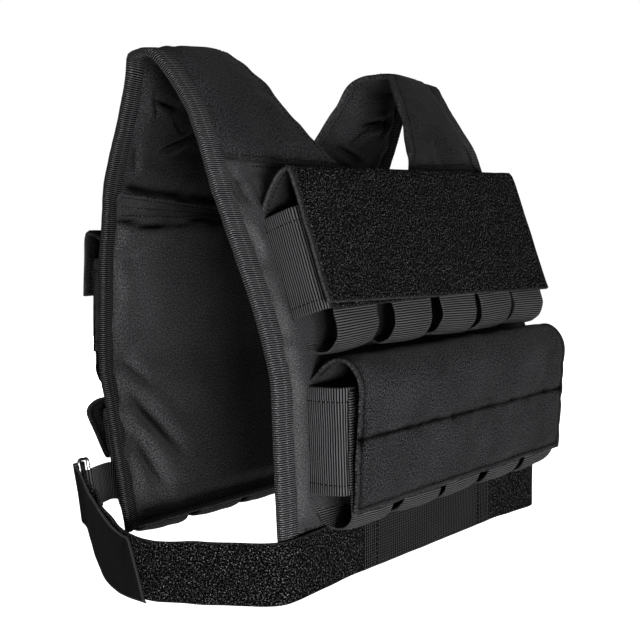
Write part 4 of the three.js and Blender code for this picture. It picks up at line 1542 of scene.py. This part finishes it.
def beltMiddles():
    # the layer from the front to the ring, its turn round the wire, and the tail outside it
    joint, level = belt["webHalf"] + belt["seamGap"], -belt["frontDrop"]
    inner = [[-joint, -belt["reach"], level], [-joint - 15, -belt["reach"], level]]
    for side, reach, drop in beltRows:
        y = reach * belt["reach"] if reach < 0 else reach * belt["ringBack"]
        inner.append([-side * belt["half"], y, -drop * belt["drop"]])
    inner = np.array(inner)
    bend = ring["wire"] + ring["play"] + belt["wall"] / 2
    wrap = []
    for angle in np.linspace(0, math.pi, 9):
        wrap.append(ringFront - ringOut * bend * math.cos(angle) + ringIn * bend * math.sin(angle))
    wrap = [wrap[0] - ringIn * bend] + wrap + [wrap[-1] - ringIn * bend]
    tail = []
    for k in range(1, belt["tailLength"] + 1):
        index = len(inner) - k
        travel = inner[index] - inner[index - 1]
        outward = unit(np.array([-travel[1], travel[0], 0]))
        if outward[0] > 0:
            outward = -outward
        fall = np.array([0, 0, -belt["tailFall"] * k / belt["tailLength"]])
        tail.append(inner[index] + outward * (belt["wall"] + belt["tailGap"]) + fall)
    return inner, np.array(wrap), np.array(tail)


def beltStrip(middles, toward, spacing):
    # middle line and its upward direction at even steps; toward is 1 where the strip leans with the ring
    joined = evenRun(np.hstack([middles, np.asarray(toward)[:, None]]), spacing, 1)
    points, lean = joined[:, :3], joined[:, 3]
    up = unit(np.array([0, 0, 1]) * (1 - lean)[:, None] + ringUp * lean[:, None])
    travel = unit(np.gradient(points, axis=0))
    square = up - travel * (np.sum(up * travel, axis=1) * (1 - lean))[:, None]
    return points, unit(square)


def stripGrid(points, up, width, columns):
    half = width / 2
    across = np.concatenate([[-half, -half + 1], np.linspace(-half + 3, half - 3, columns), [half - 1, half]])
    return points[:, None, :] + up[:, None, :] * across[None, :, None], across


def buildBelt(right):
    side = sideName(right)
    inner, wrap, tail = beltMiddles()
    last = len(inner) - 1
    toward = np.concatenate([softStep(np.arange(len(inner)), last - belt["turnStations"], last),
                             np.ones(len(wrap)),
                             softStep(np.arange(len(tail))[::-1], 0, belt["tailLength"] - 1)])
    points, up = beltStrip(np.vstack([inner, wrap, tail]), toward, 3.5)
    run = runLength(points)
    grid, across = stripGrid(points, up, belt["width"], 11)
    cut = int(np.argmin(np.linalg.norm(points - ringFront, axis=1)))
    toRing = run - run[cut]
    free = softStep(run, *beltWaves["freeFrom"])
    free = free * (1 - softStep(toRing, *(-gap for gap in beltWaves["freeTo"])))
    edge = (across / (belt["width"] / 2)) ** 2
    wave = np.sin(run / beltWaves["edgeRun"]) * beltWaves["edge"] * free
    wave = wave * softStep(toRing, *(-gap for gap in beltWaves["edgeFrom"]))
    ripple = noiseGrid(run / 16, across / 26, 1.7) * beltWaves["ripple"]
    ripple = ripple * (0.3 + 0.7 * softStep(run, *beltWaves["flatTo"]))[:, None]
    grid = waved(grid, wave[:, None] * edge + ripple)
    slow = noiseGrid(run / beltWaves["slowRun"], [3.1 if right else 8.2], 0)
    grid[..., 2] += slow * beltWaves["slow"] * free[:, None]
    inset = noiseGrid(run / beltWaves["insetRun"], np.where(across > 0, 9.5, 2.5), 4.4) * beltWaves["inset"]
    grid += up[:, None, :] * (inset * edge)[..., None]
    if not right:
        grid = mirrorGrid(grid)
    if gridNormals(grid)[6, grid.shape[1] // 2][1] > 0:  # the pile faces out along the front
        grid = grid[:, ::-1]
    uv = spread(run, across)
    layer = clothWall("belt" + side, grid[:cut + 1], belt["sideWall"], uv[:cut + 1], pileMatter, bulge=0.3)
    settle(layer, "belt_side_" + side.lower(), "pile")
    ends = softStep(run, run[-1] - belt["tailEnd"], run[-1])[:, None] * np.linspace(1, 0, len(across))
    towards = unit(grid[-1:] - grid[-9:-8])
    upward = 1 if grid[-1, -1, 2] > grid[-1, 0, 2] else -1
    grid = grid - towards * (ends[:, ::-upward] * belt["tailSlant"])[..., None]
    tail = clothWall("beltTail" + side, grid[cut + 1:], belt["tailWall"], uv[cut + 1:], tailMatter, bulge=0.3)
    settle(tail, [], "webbing")


webStitches = {"columns": 4, "inset": 3, "pitch": 4.6, "half": 20}


def buildWebSection():
    half, level = belt["webHalf"], -belt["frontDrop"]
    edge = belt["width"] / 2
    across = np.concatenate([[-edge, -edge + 1], np.linspace(-edge + 3, edge - 3, 12), [edge - 1, edge]])
    line = np.linspace(-half, half, 62)
    grid = np.array([[[x, -belt["reach"], level + up] for x in line] for up in across])
    grid[..., 1] -= noiseGrid(line / 20, across / 24, 6.3).T * 0.5
    uv = spread(across, line)[..., ::-1]
    piece = clothWall("beltFront", grid, belt["wall"], uv, coarseMatter, bulge=0.3)
    y = -belt["reach"] - belt["wall"] / 2 - seams["lift"]
    for side in (-1, 1):
        for column in range(webStitches["columns"]):
            x = side * (half - webStitches["inset"] - column * webStitches["pitch"])
            heights = np.linspace(-webStitches["half"], webStitches["half"], 12)
            places = np.array([[x, y, level + up] for up in heights])
            sew("stitchesBelt", places, np.tile([0, -1, 0], (len(places), 1)))
    settle(piece, "belt_front", "webbing")


tab = {"wall": 1.6, "width": 30, "gap": 0.3, "reach": 65.0, "end": 8}


def buildTab(right):
    # from the side of the lower band on the back, round the rear wire of the ring and back
    rear = ringFront + ringIn * ring["slot"]
    away = tab["gap"] + tab["wall"] / 2
    side = -(pouch["bandHalf"] + pouch["webWall"] / 2 + away)
    path = []
    for past, share in ((0, 0.20), (0, 0.55), (2, 0.66), (7, 0.68)):
        path.append([side - past, tab["reach"] + pouch["depth"] * share, rear[2]])
    bend = ring["wire"] + away
    for angle in np.linspace(0, math.pi, 7):
        path.append(rear + ringOut * bend * math.cos(angle) - ringIn * bend * math.sin(angle))
    path.append(path[-1] + ringIn * tab["end"])
    points, up = beltStrip(np.array(path, float), [0, 0, 0.3, 0.7] + [1] * 8, 2.2)
    grid, across = stripGrid(points, up, tab["width"], 8)
    if not right:
        grid = mirrorGrid(grid)
    uv = spread(runLength(points), across)
    piece = clothWall("beltTab" + sideName(right), grid, tab["wall"], uv, webMatter, bulge=0.3)
    settle(piece, "belt_tab_" + sideName(right).lower(), "webbing")


def buildRing(right):
    middle = []
    for quarter in range(4):
        inAt = ring["slot"] - ring["corner"] if quarter in (0, 3) else ring["corner"]
        upAt = (1 if quarter < 2 else -1) * (ring["length"] / 2 - ring["corner"])
        for angle in np.linspace(0, math.pi / 2, 7) + quarter * math.pi / 2:
            middle.append(ringFront + ringIn * (inAt + ring["corner"] * math.cos(angle))
                          + ringUp * (upAt + ring["corner"] * math.sin(angle)))
    middle = np.array(middle)
    flat = unit(np.cross(ringIn, ringUp))
    travel = unit(np.roll(middle, -1, axis=0) - np.roll(middle, 1, axis=0))
    outward = unit(np.cross(travel, flat))
    count, sides = len(middle), ring["sides"]
    turns = 2 * math.pi * np.arange(sides) / sides
    spokes = outward[:, None] * np.cos(turns)[None, :, None] + flat * np.sin(turns)[None, :, None]
    verts = (middle[:, None] + spokes * ring["wire"]).reshape(-1, 3)
    faces = []
    for i in range(count):
        after = (i + 1) % count
        for k in range(sides):
            beside = (k + 1) % sides
            faces.append([i * sides + k, i * sides + beside, after * sides + beside, after * sides + k])
    if not right:
        verts = verts * np.array([-1, 1, 1])
    piece = makePiece("ring" + sideName(right), verts, faces, np.zeros((len(verts), 2)), steelMatter)
    settle(piece, "belt_ring_" + sideName(right).lower(), "ring")


buildWebSection()
for right in (True, False):
    buildBelt(right)
    buildTab(right)
    buildRing(right)
print("vest: belt made")

for group in stitchRuns:
    closeStitches(group, "webbing" if group == "stitchesBelt" else "cloth")
print("vest: stitches made")


# room, light and camera

def enclosed(piece):
    # the volume inside a piece, positive where its faces point outwards
    piece.data.calc_loop_triangles()
    points = readPoints(piece)
    tris = np.array([t.vertices[:] for t in piece.data.loop_triangles])
    if not len(tris):
        return 0.0
    a, b, c = points[tris[:, 0]], points[tris[:, 1]], points[tris[:, 2]]
    return float(np.einsum("ij,ij->i", a, np.cross(b, c)).sum() / 6)


for piece in list(bpy.data.objects):
    if piece.type == "MESH" and piece.get("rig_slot") and enclosed(piece) < 0:
        piece.data.flip_normals()
        print("vest: turned", piece.name)

room = {"half": 3.0, "floor": -0.5, "paper": (0.93, 0.93, 0.93), "fleck": (0.96, 0.96, 0.96), "fleckSize": 40,
        "ambient": 0.05, "glow": 1.0}


def buildRoom():
    board = Board("palePaper")
    fleck = board.grain(board.objectPlace(), room["fleckSize"], 3.0)
    colour = board.mix(fleck, room["paper"], room["fleck"])
    paper = board.finish(colour, 0.9, fleck, 0.1, {"Emission Color": (1, 1, 1, 1)})
    sight = board.node("ShaderNodeLightPath") * room["glow"]
    for shader in board.tree.nodes:
        if shader.type == "BSDF_PRINCIPLED":
            board.tree.links.new(sight.socket, shader.inputs["Emission Strength"])
    half, z = room["half"], room["floor"]
    mesh = bpy.data.meshes.new("floor")
    corners = [(-half, -half, z), (half, -half, z), (half, half, z), (-half, half, z)]
    mesh.from_pydata(corners, [], [(0, 1, 2, 3)])
    mesh.materials.append(paper)
    addObject("floor", mesh)
    world = bpy.data.worlds.new("studio")
    world.use_nodes = True
    tree = world.node_tree
    paths = tree.nodes.new("ShaderNodeLightPath")
    strength = tree.nodes.new("ShaderNodeMapRange")
    strength.inputs["To Min"].default_value = room["ambient"]
    strength.inputs["To Max"].default_value = 1.0
    tree.links.new(paths.outputs["Is Camera Ray"], strength.inputs["Value"])
    tree.nodes["Background"].inputs["Color"].default_value = (1, 1, 1, 1)
    tree.links.new(strength.outputs[0], tree.nodes["Background"].inputs["Strength"])
    bpy.context.scene.world = world


# place in metres, width and height in metres, power in watts
lamps = {
    "keyLight": ((-1.15, -1.8, -0.44), (0.9, 0.5), 80),
    "fillLight": ((-2.1, 0.0, -0.35), (1.0, 1.0), 9),
    "backLight": ((1.5, 1.9, 0.1), (1.2, 1.2), 60),
}
lampAim = (0, 0, -0.2)


def turnTo(thing, direction):
    thing.rotation_mode = "QUATERNION"
    thing.rotation_quaternion = direction.to_track_quat("-Z", "Y")


def addLamp(name, place, size, power):
    light = bpy.data.lights.new(name, "AREA")
    light.shape = "RECTANGLE"
    light.size, light.size_y = size
    light.energy = power
    lamp = addObject(name, light)
    lamp.location = place
    turnTo(lamp, Vector(lampAim) - Vector(place))


# turn and tilt in degrees, lens in millimetres, place in metres
view = {"turn": 38.4, "tilt": 5.7, "lens": 67.5, "place": (-0.81563, -0.65110, -0.10807), "clip": (0.05, 20)}


def addCamera():
    turn, tilt = math.radians(view["turn"]), math.radians(view["tilt"])
    camera = bpy.data.cameras.new("camera")
    camera.lens, camera.sensor_width = view["lens"], 36
    camera.clip_start, camera.clip_end = view["clip"]
    eye = addObject("camera", camera)
    eye.location = view["place"]
    turnTo(eye, Vector((math.cos(turn) * math.cos(tilt), math.sin(turn) * math.cos(tilt), -math.sin(tilt))))
    bpy.context.scene.camera = eye


buildRoom()
for name, lamp in lamps.items():
    addLamp(name, *lamp)
addCamera()
bpy.context.scene.view_settings.view_transform = "Standard"
print("vest: room, light and camera made")
